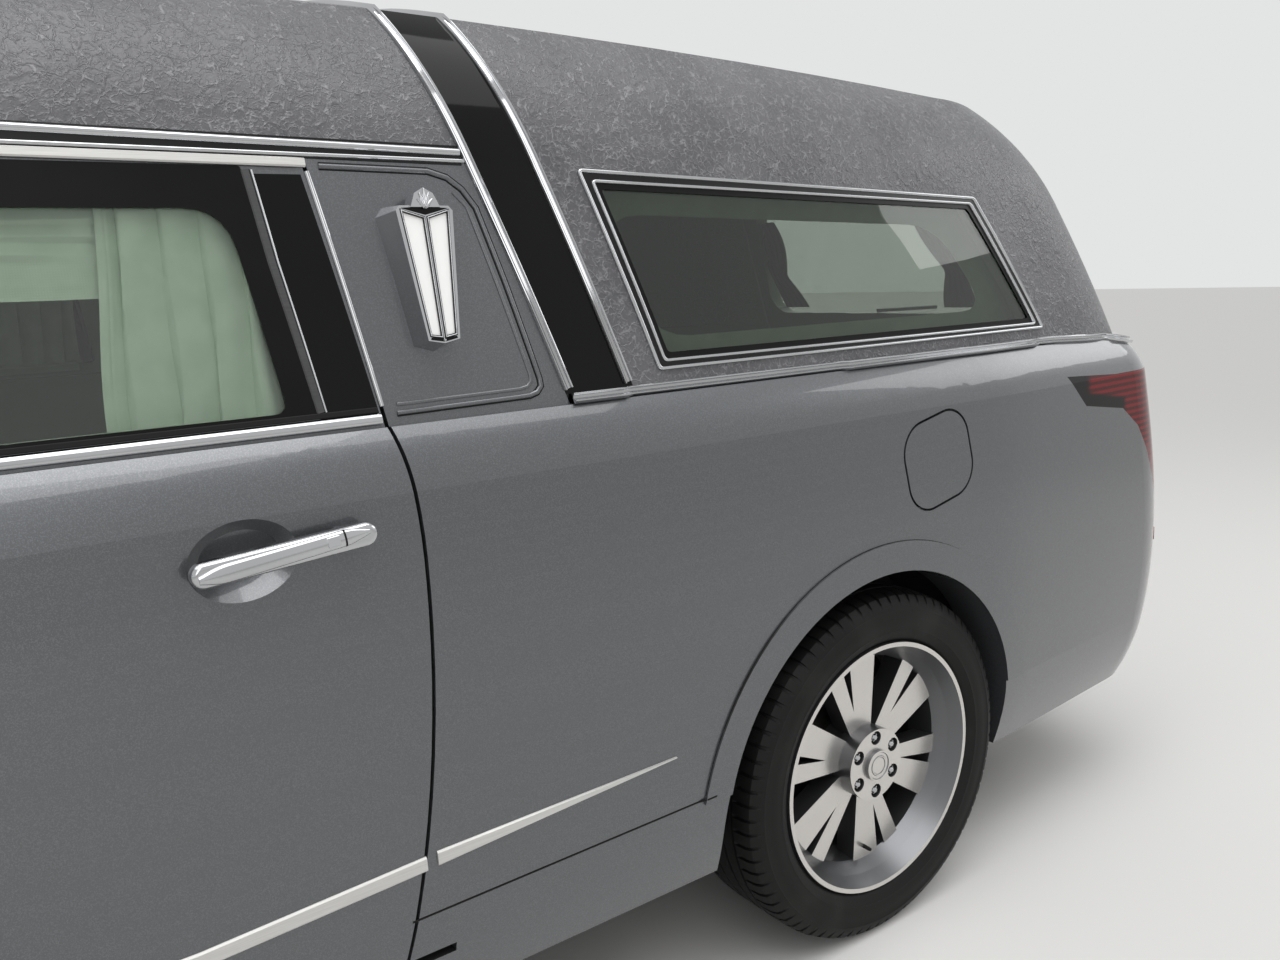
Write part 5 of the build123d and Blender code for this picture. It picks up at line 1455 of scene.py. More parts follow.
@dataclass
class SideDoors:
    """Bright strips, printed window borders and sill mouldings of the four side doors."""

    shop: Workshop
    rear_outer: tuple[Point2, ...] = ((-0.365, 1.594), (0.556, 1.588), (0.617, 1.246), (-0.365, 1.246))
    rear_clear: tuple[Point2, ...] = ((-0.300, 1.534), (0.526, 1.532), (0.570, 1.256), (-0.300, 1.256))
    rear_corners: tuple[float, ...] = (0.02, 0.055, 0.02, 0.02)
    front_outer: tuple[Point2, ...] = ((-1.222, 1.246), (-0.792, 1.574), (-0.385, 1.592), (-0.385, 1.246))
    front_clear: tuple[Point2, ...] = ((-1.120, 1.264), (-0.745, 1.534), (-0.450, 1.542), (-0.450, 1.264))
    front_corners: tuple[float, ...] = (0.03, 0.03, 0.03, 0.03)
    outer_corner: float = 0.004
    rear_strips: tuple[Strip, ...] = (
        Strip("rear_door_header", Surface.STRIP, ((-0.367, 1.5995), (0.278, 1.5995), (0.645, 1.594)),
              flat_strip(13, 3), lift=0.001),
        Strip("rear_door_sill", Surface.CHROME, ((-0.367, 1.2345), (0.700, 1.2345)), bead(19, 7)),
        Strip("rear_door_sill_gasket", Surface.RUBBER, ((-0.363, 1.2475), (0.696, 1.2475)), flat_strip(8, 3)),
        Strip("rear_door_sill_pad", Surface.LINING, ((-0.295, 1.251), (0.566, 1.251)),
              ((-0.012, -0.045), (-0.012, 0.0), (0.002, 0.0), (0.006, -0.006), (0.006, -0.045)), lift=-0.011),
        Strip("applique_front_strip", Surface.DARK_STRIP, ((0.562, 1.583), (0.578, 1.46), (0.615, 1.252)),
              flat_strip(12, 2.5)),
        Strip("applique_front_line", Surface.CHROME, ((0.570, 1.583), (0.586, 1.46), (0.622, 1.252)),
              bead(4, 3.2)),
        Strip("applique_rear_line", Surface.CHROME, ((0.646, 1.582), (0.670, 1.446), (0.704, 1.252)),
              bead(8, 4)))
    front_strips: tuple[Strip, ...] = (
        Strip("front_door_sill", Surface.CHROME, ((-1.20, 1.2345), (-0.385, 1.2345)), bead(19, 7)),
        Strip("front_door_header", Surface.STRIP, ((-1.235, 1.253), (-0.805, 1.582), (-0.387, 1.5995)),
              flat_strip(13, 3), lift=0.001))

    def build(self) -> None:
        """Trims both doors of each side."""
        doors = (("rear_door", self.rear_outer, self.rear_clear, self.rear_corners, self.rear_strips),
                 ("front_door", self.front_outer, self.front_clear, self.front_corners, self.front_strips))
        for side in Side:
            for door, outer, clear, corners, strips in doors:
                edge = rounded(outer, (self.outer_corner,) * 4, run_steps=36)
                opening = rounded(clear, corners, run_steps=36)
                body = f"{door}_{side.label}"
                self.shop.panel(f"{door}_border_{side.label}", body, Surface.FRIT,
                                (edge, between(edge, opening, 0.5), opening), 0.0008, side)
                self.shop.lay(body, side, *strips)


@dataclass
class SailPanel:
    """Raised outline of the painted panel between the rear door and the slanted band."""

    shop: Workshop
    outline: tuple[Point2, ...] = ((0.664, 1.590), (0.828, 1.586), (0.858, 1.577), (0.880, 1.560),
                                   (0.899, 1.532), (0.930, 1.420), (0.969, 1.268), (0.970, 1.256),
                                   (0.962, 1.247), (0.948, 1.243), (0.726, 1.240))
    lip: tuple[Point2, ...] = ((0.864, 1.556), (0.884, 1.534), (0.915, 1.420), (0.953, 1.274), (0.953, 1.264),
                               (0.946, 1.257), (0.932, 1.2545), (0.727, 1.2520))

    def build(self) -> None:
        """Lays a low painted bead, a black line under it as a painted shadow of the groove, and a finer inner
        bead on each side.
        """
        for side in Side:
            self.shop.lay("body", side,
                          Strip("sail_panel_bead", Surface.PAINT, self.outline, bead(8, 3.5), step=0.03),
                          # Painted shadow: the black line beside the bead stands in for the shade in the
                          # panel's groove.
                          Strip("sail_panel_line", Surface.FRIT, self.outline, bead(12, 0.7), step=0.03),
                          Strip("sail_panel_lip", Surface.PAINT, self.lip, bead(6, 2.2), step=0.03))


@dataclass
class DoorCurtains:
    """Pale pleated curtain and folded valance behind each rear side window."""

    shop: Workshop
    hem: tuple[Point2, ...] = ((0.376, 1.590), (0.345, 1.250))
    pleats: tuple[Point2, ...] = ((0.402, 0.377), (0.4515, 0.439), (0.5025, 0.490), (0.550, 0.541))
    rear: Point2 = (0.573, 0.573)
    top: float = 1.590
    bottom: float = 1.250
    valance_front: float = -0.283
    folds: tuple[float, ...] = (1.564, 1.553, 1.540, 1.521, 1.499, 1.477)
    valance_bottom: float = 1.427
    gap: float = 0.014
    frame_foot: Point2 = (1.551, 1.562)
    frame_depth: float = 0.042

    def build(self) -> None:
        """Hangs a curtain and a valance on each side, stepped in behind the top of the door frame."""
        for side in Side:
            drape = self.drape(side)
            valance = self.valance(side)
            if side is Side.LEFT:
                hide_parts("curtains")

    def cloth(self, name: str, side: Side, rows: int, columns: int,
              at: Callable[[float, float], Point3]) -> bpy.types.Object:
        """Makes a sheet of cloth from a grid of places behind the glass.

        Args:
            name: Name of the piece.
            side: Side of the coach.
            rows: Steps down the cloth.
            columns: Steps along the cloth.
            at: Gives Y, Z and depth behind the glass at two shares, along and down.

        Returns:
            The new piece.
        """
        points = []
        for j in range(rows + 1):
            for i in range(columns + 1):
                y, z, depth = at(i / columns, j / rows)
                spot = self.shop.skin.side(y, z)
                low, high = self.frame_foot
                behind = self.frame_depth * min(1.0, max(0.0, (z - low) / (high - low)))
                points.append(spot.point - spot.normal * (self.gap + depth + behind))
        return self.shop.piece(name, "body", Surface.CURTAIN, (points, sheet_faces(rows, columns)), side,
                               sharp=80)

    def drape(self, side: Side) -> bpy.types.Object:
        """Makes the curtain, with knife pleats and a stitched leading hem.

        Args:
            side: Side of the coach.

        Returns:
            The new piece.
        """
        tops = [self.hem[0][0]] + [p[0] for p in self.pleats] + [self.rear[0]]
        feet = [self.hem[1][0]] + [p[1] for p in self.pleats] + [self.rear[1]]
        count = len(tops) - 1

        def at(along: float, down: float) -> Point3:
            """Finds a point of the pleated cloth.

            Args:
                along: Share of the way along the cloth.
                down: Share of the way down it.

            Returns:
                The two coordinates and the depth behind the glass.
            """
            where = along * count
            lane = min(int(where), count - 1)
            part = where - lane
            z = self.top + (self.bottom - self.top) * down
            y_top = tops[lane] + (tops[lane + 1] - tops[lane]) * part
            y_foot = feet[lane] + (feet[lane + 1] - feet[lane]) * part
            y = y_top + (y_foot - y_top) * down
            deep = 0.011 * part ** 1.6 + 0.002 * math.sin(9.0 * down + 2.0 * lane)
            stitch = 0.0012 if lane == 0 and abs(part - 0.42) < 0.05 else 0.0
            swell = 0.003 * math.sin(math.pi * min(1.0, part * 1.4)) * (0.6 + 0.4 * math.sin(5 * down + lane))
            return y + 0.003 * math.sin(6.5 * down + 1.7 * lane) * down, z, deep + stitch - swell + 0.004
        return self.cloth(f"door_curtain_{side.label}", side, 26, 100, at)

    def valance(self, side: Side) -> bpy.types.Object:
        """Makes the valance, folded in lengthwise tucks with a stitched lower hem.

        Args:
            side: Side of the coach.

        Returns:
            The new piece.
        """
        levels = [self.top] + list(self.folds) + [self.valance_bottom]
        count = len(levels) - 1

        def at(along: float, down: float) -> Point3:
            """Finds a point of the tucked cloth.

            Args:
                along: Share of the way along the cloth.
                down: Share of the way down it.

            Returns:
                The two coordinates and the depth behind the glass.
            """
            where = down * count
            lane = min(int(where), count - 1)
            part = where - lane
            z = levels[lane] + (levels[lane + 1] - levels[lane]) * part
            foot = self.hem[0][0] + ((self.hem[1][0] - self.hem[0][0]) * (self.top - z)
                                     / (self.top - self.bottom))
            y = self.valance_front + (foot + 0.004 - self.valance_front) * along
            deep = 0.006 * (1 - part) if lane < count - 1 else 0.004
            stitch = 0.0014 if lane == count - 1 and abs(part - 0.84) < 0.04 else 0.0
            sag = 0.0015 * math.sin(8 * along + lane)
            return y, z - sag, deep + stitch + 0.012 + 0.002 * math.sin(17 * along + 2 * lane)
        return self.cloth(f"door_valance_{side.label}", side, 50, 40, at)


@dataclass
class CoachLamp:
    """Bright beads, black gaskets and a ribbed leaf on the side lamp of the slanted band."""

    shop: Workshop
    origin: Point3 = (0.862, 0.794, 1.437)
    lean: float = math.radians(9)
    turn: float = math.radians(4.4)
    lens: tuple[Point2, ...] = ((3, 74), (38, 84), (21, -96), (3, -99))
    stud: tuple[Point2, ...] = ((0.0, 0.0030), (0.0016, 0.0026), (0.0030, 0.0))
    face_depth_mm: float = 38.0

    def build(self) -> None:
        """Dresses the lamp of each side."""
        for side in Side:
            tag, shop = side.label, self.shop
            for name, sign in (("rear", 1), ("front", -1)):
                loop = self.loop([self.at(sign * u, v, self.face_depth_mm) for u, v in self.lens])
                for kind, surface, profile in (("bead", Surface.CHROME, bead(2.0, 1.8)),
                                               ("gasket", Surface.RUBBER, bead(4.2, 0.9))):
                    ring = sweep(loop, profile, closed=True)
                    shop.piece(f"lamp_{name}_{kind}_{tag}", "body", surface, ring, side)
            shop.piece(f"lamp_leaf_{tag}", "body", Surface.CHROME, self.leaf(), side)
            # Painted shade: black fields laid in the recesses above and below the lenses.
            shop.piece(f"lamp_recess_{tag}", "body", Surface.FRIT, self.recess(), side)
            stud = turned(self.at(0, -103.5, self.face_depth_mm), self.stud, 16)
            shop.piece(f"lamp_stud_{tag}", "body", Surface.CHROME, stud, side)

    def axes(self) -> tuple[Vector, Vector, Vector]:
        """Works out how the lamp leans and turns.

        Returns:
            Its along, up and outward directions.
        """
        c, s = math.cos(self.lean), math.sin(self.lean)
        along, up, out = Vector((0, 1, 0)), Vector((-s, 0, c)), Vector((c, 0, s))
        spin = Matrix.Rotation(self.turn, 3, "Z")
        return spin @ along, spin @ up, spin @ out

    def at(self, u: float, v: float, w: float) -> Vector:
        """Returns the place of a point in the lamp's own millimetres."""
        along, up, out = self.axes()
        return Vector(self.origin) + (along * u + up * v + out * w) * MM

    def loop(self, corners: Sequence[Vector]) -> list[Spot]:
        """Divides a closed outline on the lamp's face.

        Args:
            corners: Corners in order.

        Returns:
            Spots that face out.
        """
        out = self.axes()[2]
        spots = []
        for a, b in zip(corners, list(corners[1:]) + [corners[0]]):
            spots.extend(Spot(a.lerp(b, k / 6), out) for k in range(6))
        return spots

    def recess(self) -> Mesh:
        """Makes the black fields above and below the lenses, painted shade in the recesses there.

        Returns:
            Vertices and faces.
        """
        out, depth = self.axes()[2], self.face_depth_mm
        fields = (((38, 77.5, 9.5), (37, 89.5, -2.0)), ((21, -100.5, 2.0), (22, -106.0, 4.0)))
        return joined(plate([[Spot(self.at(half * u, height + rise * abs(u), depth), out)
                              for u in (k / 10 for k in range(-10, 11))] for half, height, rise in field],
                            0.0006, closed=False) for field in fields)

    def on_cap(self, lamp: Skin, u: float, v: float) -> Spot:
        """Finds the lamp's outer face.

        Args:
            lamp: Surface of the lamp.
            u: Place along, in the lamp's own millimetres.
            v: Place up, in the same.

        Returns:
            The face at that place.
        """
        out = self.axes()[2]
        start = self.at(u, v, 90)
        hit = lamp.cast(start, -out)
        return Spot(hit if (hit - start).length < 0.08 else self.at(u, v, self.face_depth_mm), out)

    def leaf(self) -> Mesh:
        """Makes the plain ribbed leaf above the lenses.

        Returns:
            Vertices and faces.
        """
        lamp = Skin(self.shop.nodes, ["coach_lamps"])
        parts = []
        for k in range(-2, 3):
            lean = k * 0.42
            length = 29 - 4.5 * abs(k)
            stations = [self.on_cap(lamp, math.sin(lean) * t * length * 0.8, 86 + math.cos(lean) * t * length)
                        for t in (i / 6 for i in range(7))]
            widths = [0.55 + 0.75 * math.sin(math.pi * (0.15 + 0.85 * i / 6)) for i in range(7)]
            parts.append(sweep(stations, bead(4.0, 2.2, 6), widths=widths))
        return joined(parts)


@dataclass
class DoorGrips:
    """Crowned bright faces of the four door handles, with a seam and a key cover."""

    shop: Workshop
    ends: tuple[Point2, Point2] = ((0.408, 1.0715), (0.632, 1.0965))
    front_shift: float = -1.062
    width_mm: float = 25.0
    rise_mm: float = 5.5
    seam_share: float = 0.84

    def build(self) -> None:
        """Makes the grip of each door."""
        width, rise = self.width_mm, self.rise_mm
        widths = [0.42 + 0.58 * math.sin(math.pi * min(0.5, 6 * min(t, 1 - t) * 0.5)) - 0.10 * t
                  for t in (i / 40 for i in range(41))]
        for row in Row:
            shift = self.front_shift if row is Row.FRONT else 0.0
            handle = Skin(self.shop.nodes, [f"{row.label}_door_handle_left"])
            grip = sweep(self.run(handle, shift, 0.0, 1.0, 40), bead(width, rise, 14), widths=widths)
            lock = self.run(handle, shift, self.seam_share, self.seam_share + 0.012, 2)
            seam = sweep(lock, bead(width * 0.93, rise + 0.25, 14))
            key = self.run(handle, shift, self.seam_share - 0.105, self.seam_share - 0.03, 4)
            cover = sweep([s.lifted(rise * MM * 0.93) for s in key], flat_strip(14, 0.9))
            for side in Side:
                body, tag = f"{row.label}_door_{side.label}", f"{row.label}_{side.label}"
                self.shop.piece(f"door_grip_{tag}", body, Surface.CHROME, grip, side, 50)
                self.shop.piece(f"door_grip_seam_{tag}", body, Surface.RUBBER, seam, side)
                self.shop.piece(f"door_key_cover_{tag}", body, Surface.CHROME, cover, side)

    def run(self, handle: Skin, shift: float, start: float, end: float, steps: int) -> list[Spot]:
        """Finds the handle's face between two shares of its length.

        Args:
            handle: Surface of the handle.
            shift: Distance from the rear door's handle along the coach.
            start: Share at which the run starts.
            end: Share at which it ends.
            steps: Steps between them.

        Returns:
            Spots that all face the same way.
        """
        (y0, z0), (y1, z1) = self.ends
        spots = []
        for i in range(steps + 1):
            t = start + (end - start) * i / steps
            spot = handle.side(y0 + (y1 - y0) * t + shift, z0 + (z1 - z0) * t)
            spots.append(Spot(spot.point, Vector((1.0, 0.0, 0.12)).normalized()))
        return spots


@dataclass
class LowerTrim:
    """Brushed strips low on the doors and quarters, and the seam above the rocker."""

    shop: Workshop
    front: tuple[Point2, ...] = ((-1.44, 0.5425), (-0.392, 0.5455))
    rear: tuple[Point2, ...] = ((-0.364, 0.5455), (0.36, 0.5455), (0.688, 0.5625))
    quarter: tuple[Point2, ...] = ((0.706, 0.5645), (1.165, 0.586))
    seam: tuple[Point2, ...] = ((0.66, 0.472), (1.256, 0.480))

    def build(self) -> None:
        """Lays the strips and the seam on each side."""
        shape = flat_strip(25.0, 4)
        for side in Side:
            for door, route in (("front_door", self.front), ("rear_door", self.rear)):
                strip = Strip(f"strip_{door}", Surface.STRIP, route, shape)
                self.shop.lay(f"{door}_{side.label}", side, strip)
            self.shop.lay("body", side,
                          Strip("strip_quarter", Surface.STRIP, self.quarter, shape, taper=0.92),
                          Strip("rocker_seam", Surface.FRIT, self.seam, bead(4, 0.8)))


@dataclass
class ArchSeams:
    """Fine dark lines where the wheel-arch flares meet the panels."""

    shop: Workshop
    rear_centre: Point2 = (1.710, 0.386)
    rear_radius: float = 0.487
    front_centre: Point2 = (-2.075, 0.386)
    front_radius: float = 0.494
    foot: float = 0.100

    def build(self) -> None:
        """Draws a seam round each wheel opening."""
        for side in Side:
            for row, centre, radius in ((Row.REAR, self.rear_centre, self.rear_radius),
                                        (Row.FRONT, self.front_centre, self.front_radius)):
                start = math.asin(self.foot / radius)
                arc = [(centre[0] - radius * math.cos(a), centre[1] + radius * math.sin(a))
                       for a in (start + (math.pi - 2 * start) * k / 48 for k in range(49))]
                self.shop.lay("body", side,
                              Strip(f"{row.label}_arch_seam", Surface.FRIT, arc, bead(3, 0.5), step=0.05))


@dataclass
class WheelDress:
    """Wheel nuts with a black ring at their foot as painted shade of their pockets, a plain ringed cap and a
    valve on one row's wheels.
    """

    shop: Workshop
    row: Row
    bolt_circle: float = 0.060
    pocket_depth: float = 0.0620
    cap_face: float = 0.0942
    cap_radius: float = 0.034
    centre: Point2 = (0.819, 0.378)

    def build(self) -> None:
        """Dresses the wheel of each side."""
        middle = Vector((self.centre[0], self.row.value, self.centre[1]))
        spots = [middle + Vector((0, self.bolt_circle * math.sin(a), -self.bolt_circle * math.cos(a)))
                 for a in (math.radians(60 * k) for k in range(6))]
        pieces = (("nuts", Surface.CHROME, joined(self.nut(s) for s in spots), 25),
                  # Painted shade: the black rings stand in for the shade deep in the nut pockets.
                  ("pockets", Surface.TRIM_BLACK, joined(self.cup(s) for s in spots), 38),
                  ("cap", Surface.ALLOY, self.cap(middle), 25),
                  ("valve", Surface.RUBBER, self.valve(middle), 38))
        for side in Side:
            for name, surface, mesh, sharp in pieces:
                self.shop.piece(f"wheel_{name}_{self.row.label}_{side.label}",
                                f"{self.row.label}_wheel_{side.label}", surface, mesh, side, sharp)

    def nut(self, spot: Vector) -> Mesh:
        """Makes a six-sided wheel nut with a domed end."""
        base = self.pocket_depth
        return turned(spot, ((0.0, base + 0.0245), (0.0050, base + 0.0238), (0.0088, base + 0.0200),
                             (0.0102, base + 0.0170), (0.0102, base + 0.0010), (0.0125, base)), 6)

    def cup(self, spot: Vector) -> Mesh:
        """Makes the black ring at the foot of a nut, painted shade at the bottom of its pocket."""
        base = self.pocket_depth
        return turned(spot, ((0.0110, base + 0.0004), (0.0150, base + 0.0016), (0.0158, base + 0.0006)), 24)

    def cap(self, middle: Vector) -> Mesh:
        """Makes the plain cap with two raised rings.

        Args:
            middle: Middle of the wheel.

        Returns:
            Vertices and faces.
        """
        face, radius = self.cap_face, self.cap_radius
        shape = ((0.0, face + 0.0012), (0.35, face + 0.0010), (0.52, face + 0.0004), (0.56, face + 0.0016),
                 (0.62, face + 0.0016), (0.66, face + 0.0002), (0.84, face), (0.88, face + 0.0018),
                 (0.97, face + 0.0014), (1.0, face - 0.0040))
        return turned(middle, [(r * radius, h) for r, h in shape], 48)

    def valve(self, middle: Vector) -> Mesh:
        """Makes the tyre valve inside the rim."""
        foot = middle + Vector((0, 0, -0.205))
        return turned(foot, ((0.0, 0.072), (0.0035, 0.0715), (0.0042, 0.066), (0.0042, 0.054),
                             (0.0055, 0.050), (0.0065, 0.036)), 12)


@dataclass
class Tyre:
    """A tyre with circumferential grooves, shoulder cuts and ringed sidewalls."""

    shop: Workshop
    row: Row
    radius: float = 0.378
    pitches: int = 78
    groove: float = 0.007

    def build(self) -> None:
        """Makes the tyre of each side in place of the plain packed one."""
        for side in Side:
            plain = f"{self.row.label}_tyre_{side.label}"
            low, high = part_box(plain)
            centre = (low + high) / 2
            mesh = self.shape(Vector((abs(centre.x), centre.y, centre.z)))
            wheel = f"{self.row.label}_wheel_{side.label}"
            piece = self.shop.piece(f"{self.row.label}_tread_tyre_{side.label}", wheel, Surface.TYRE, mesh,
                                    side, sharp=30)
            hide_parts(plain)

    def half_profile(self, cut: bool) -> list[Point2]:
        """Draws the tyre's outline from the middle of the tread to the bead.

        Args:
            cut: Whether the outline is in a shoulder cut.

        Returns:
            Radii and distances along the axle.
        """
        depth = self.groove
        tread = [(self.radius, 0.0)]
        for inner, outer in ((0.016, 0.024), (0.050, 0.058)):
            tread += [(self.radius, inner), (self.radius - depth, inner + 0.001),
                      (self.radius - depth, outer - 0.001), (self.radius, outer)]
        drop = 0.005 if cut else 0.0
        tread += [(self.radius - 0.0005 - drop, 0.066), (self.radius - 0.002 - drop, 0.086),
                  (self.radius - 0.007 - drop, 0.100), (self.radius - 0.018 - drop * 0.6, 0.108)]
        wall = [(0.350, 0.1125), (0.344, 0.1145), (0.340, 0.1135), (0.325, 0.1165), (0.308, 0.1165),
                (0.302, 0.1155), (0.298, 0.1160), (0.285, 0.1095), (0.279, 0.1060), (0.274, 0.0985),
                (0.258, 0.0935)]
        return tread + wall

    def shape(self, centre: Vector) -> Mesh:
        """Turns the outline about the axle, cutting the shoulder once a pitch.

        Args:
            centre: Middle of the tyre.

        Returns:
            Vertices and faces.
        """
        stations = []
        for pitch in range(self.pitches):
            for share, cut in ((0.0, False), (0.74, False), (0.78, True), (0.96, True)):
                stations.append((2 * math.pi * (pitch + share) / self.pitches, cut))
        outlines = {}
        for cut in (False, True):
            half = self.half_profile(cut)
            outlines[cut] = [(r, -a) for r, a in reversed(half)] + half[1:]
        size = len(outlines[False])
        points = []
        for angle, cut in stations:
            points.extend(centre + Vector((a, r * math.cos(angle), r * math.sin(angle)))
                          for r, a in outlines[cut])
        faces = []
        for i in range(len(stations)):
            j = (i + 1) % len(stations)
            faces.extend((i * size + k, j * size + k, j * size + k + 1, i * size + k + 1)
                         for k in range(size - 1))
        return points, faces


@dataclass
class GrilleBars:
    """Bright faces on the grille's slats."""

    shop: Workshop
    first: float = 0.5156
    pitch: float = 0.0433
    slats: int = 8
    half: float = 0.438
    waist: float = 0.64
    taper: float = 0.2

    def build(self) -> None:
        """Lays a bead along each slat."""
        for k in range(self.slats):
            z = self.first + self.pitch * k
            half = self.half - abs(z - self.waist) * self.taper
            spots = run(self.shop.skin.nose, (-half, z), (2 * half, 0.0), 24)
            spots = [spot.lifted(-0.001) for spot in spots]
            self.shop.piece(f"grille_bar_{k}", "body", Surface.CHROME, sweep(spots, bead(13, 0.8)))


@dataclass
class FrontFittings:
    """Wipers on the windscreen, faces of the door mirrors and the blank front plate."""

    shop: Workshop
    wipers: tuple[tuple[Point2, Point2], ...] = (((0.50, 1.300), (-0.06, 1.322)),
                                                 ((-0.02, 1.300), (-0.56, 1.322)))
    mirror_area: tuple[Point2, Point2] = ((1.040, 1.285), (0.095, 0.085))
    plate_area: tuple[Point2, Point2] = ((-0.15, 0.335), (0.30, 0.10))

    def build(self) -> None:
        """Makes the fittings."""
        shop = self.shop
        for index, ((x0, z0), (x1, z1)) in enumerate(self.wipers):
            spots = run(shop.skin.nose, (x0, z0), (x1 - x0, z1 - z0), 20)
            widths = [1.5 - 0.8 * i / 20 for i in range(21)]
            shop.piece(f"windscreen_wiper_{index}", "body", Surface.TRIM_BLACK,
                       sweep(spots, bead(11, 9), widths=widths))
        housing = Skin(shop.nodes, ["front_door_handle_left"])
        face = plate(grid(housing.tail, *self.mirror_area, 8, 6), 0.0012, closed=False)
        for side in Side:
            shop.piece(f"mirror_face_{side.label}", f"front_door_{side.label}", Surface.CHROME, face, side)
        front = plate(grid(shop.skin.nose, *self.plate_area, 14, 6), 0.0005, closed=False)
        shop.piece("blank_front_plate", "body", Surface.BLANK_PLATE, front)


@dataclass
class TailEnd:
    """Blank plate, bright loading-door bar and wiper at the rear, and the bumper's reflectors."""

    shop: Workshop
    plate_area: tuple[Point2, Point2] = ((-0.155, 0.874), (0.31, 0.152))
    rim: tuple[Point2, ...] = ((-0.155, 0.874), (0.155, 0.874), (0.155, 1.026), (-0.155, 1.026))
    bar: tuple[Point2, Point2] = ((-0.30, 1.075), (0.6, 0.0))
    arm: tuple[Point2, Point2] = ((-0.02, 1.272), (0.24, 0.012))
    reflector: tuple[Point2, Point2] = ((2.862, 0.671), (2.900, 0.671))

    def build(self) -> None:
        """Makes the rear fittings on the loading door and the reflectors beside it."""
        tail = self.shop.skin.tail
        rim = [tail(x, z) for x, z in trace(self.rim, 0.02, closed=True)]
        widths = [0.45 + 0.55 * min(1.0, 6 * min(i, 30 - i) / 30) for i in range(31)]
        arm = [spot.lifted(0.003) for spot in run(tail, *self.arm, 14)]
        fittings = (("blank_rear_plate", Surface.BLANK_PLATE,
                     plate(grid(tail, *self.plate_area, 14, 8), 0.003, closed=False)),
                    ("rear_plate_rim", Surface.CHROME, sweep(rim, bead(7, 4.5), closed=True)),
                    ("loading_door_bar", Surface.CHROME,
                     sweep(run(tail, *self.bar, 30), bead(34, 9), widths=widths)),
                    ("rear_wiper", Surface.TRIM_BLACK, sweep(arm, bead(10, 7))))
        for name, surface, mesh in fittings:
            self.shop.piece(name, "loading_door", surface, mesh)
        for side in Side:
            self.shop.lay("body", side, Strip("bumper_reflector", Surface.LAMP_RED, self.reflector,
                                              flat_strip(30, 2.0), step=0.006))


@dataclass
class Seats:
    """Two front seats with crowned cushions and backs, seams along them, and rounded head rests."""

    shop: Workshop
    across: float = 0.38
    half: float = 0.235

    def build(self) -> None:
        """Makes both seats in place of the plain packed ones."""
        for side in Side:
            tag, x = side.label, self.across * side.value
            cushion = self.pad(f"seat_cushion_{tag}", x, (-0.66, 0.50), (self.half, 0.245, 0.115), 0.10)
            back = self.pad(f"seat_back_{tag}", x, (-0.345, 0.865), (self.half - 0.01, 0.085, 0.31), -0.30)
            rest = self.pad(f"head_rest_{tag}", x, (-0.262, 1.255), (0.125, 0.052, 0.085), -0.22)
            if side is Side.LEFT:
                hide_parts("front_seats")

    def pad(self, name: str, across: float, place_yz: Point2, half: Point3,
            lean: float) -> bpy.types.Object:
        """Makes one crowned pad whose sides pull in between its corners.

        Args:
            name: Name of the piece.
            across: X of the pad's middle.
            place_yz: Y and Z of its middle.
            half: Half sizes along X, Y and Z.
            lean: Turn about X, in radians.

        Returns:
            The new piece.
        """
        mesh = bmesh.new()
        bmesh.ops.create_cube(mesh, size=2.0)
        bmesh.ops.subdivide_edges(mesh, edges=mesh.edges[:], cuts=11, use_grid_fill=True)
        turn = Matrix.Rotation(lean, 3, "X")
        upright = half[1] < half[2]
        points = []
        for vertex in mesh.verts:
            x, y, z = vertex.co
            middle = math.copysign(1 - (1 - abs(x)) ** 2.0, x) if abs(x) < 1 else x
            norm = (abs(x) ** 6 + abs(y) ** 6 + abs(z) ** 6) ** (1 / 6)
            seam = 0.955 if 0.40 < abs(x) < 0.52 else 1.0
            local = Vector((x / norm * half[0], y / norm * half[1] * seam, z / norm * half[2] * seam))
            crown = 1 + 0.10 * (1 - middle ** 2) * (1 if upright else 0.4)
            local.y *= crown if upright else 1.0
            local.z *= 1.0 if upright else crown
            points.append(turn @ local + Vector((across, place_yz[0], place_yz[1])))
        faces = [tuple(v.index for v in face.verts) for face in mesh.faces]
        mesh.free()
        piece = self.shop.piece(name, "body", Surface.LEATHER, (points, faces), sharp=60)
        smooth = piece.modifiers.new("rounded", "SUBSURF")
        smooth.levels = smooth.render_levels = 1
        return piece


@dataclass
class TailDrapes:
    """Dark curtains tied beside the rear window."""

    shop: Workshop
    inner: float = 0.275
    outer: float = 0.395
    top: float = 1.565
    bottom: float = 1.285
    rows: int = 20
    columns: int = 48

    def build(self) -> None:
        """Hangs a drape on each side of the rear window."""
        mesh = ([self.at(i / self.columns, j / self.rows) for j in range(self.rows + 1)
                 for i in range(self.columns + 1)], sheet_faces(self.rows, self.columns))
        for side in Side:
            piece = self.shop.piece(f"tail_drape_{side.label}", "loading_door", Surface.SHADE_CLOTH, mesh,
                                    side, sharp=80)

    def at(self, along: float, down: float) -> Vector:
        """Finds a point of the gathered cloth.

        Args:
            along: Share of the way in from the outer edge.
            down: Share of the way down.

        Returns:
            The point.
        """
        pull = 0.55 + 0.45 * abs(math.cos(math.pi * (down - 0.12)))
        x = self.outer - (self.outer - self.inner) * along * pull
        depth = 0.030 + 0.008 * math.sin(along * math.pi * 9 + 0.6 * math.sin(4 * down))
        z = self.top + (self.bottom - self.top) * down
        return self.shop.skin.tail(x, z).point + Vector((0, -depth, 0))


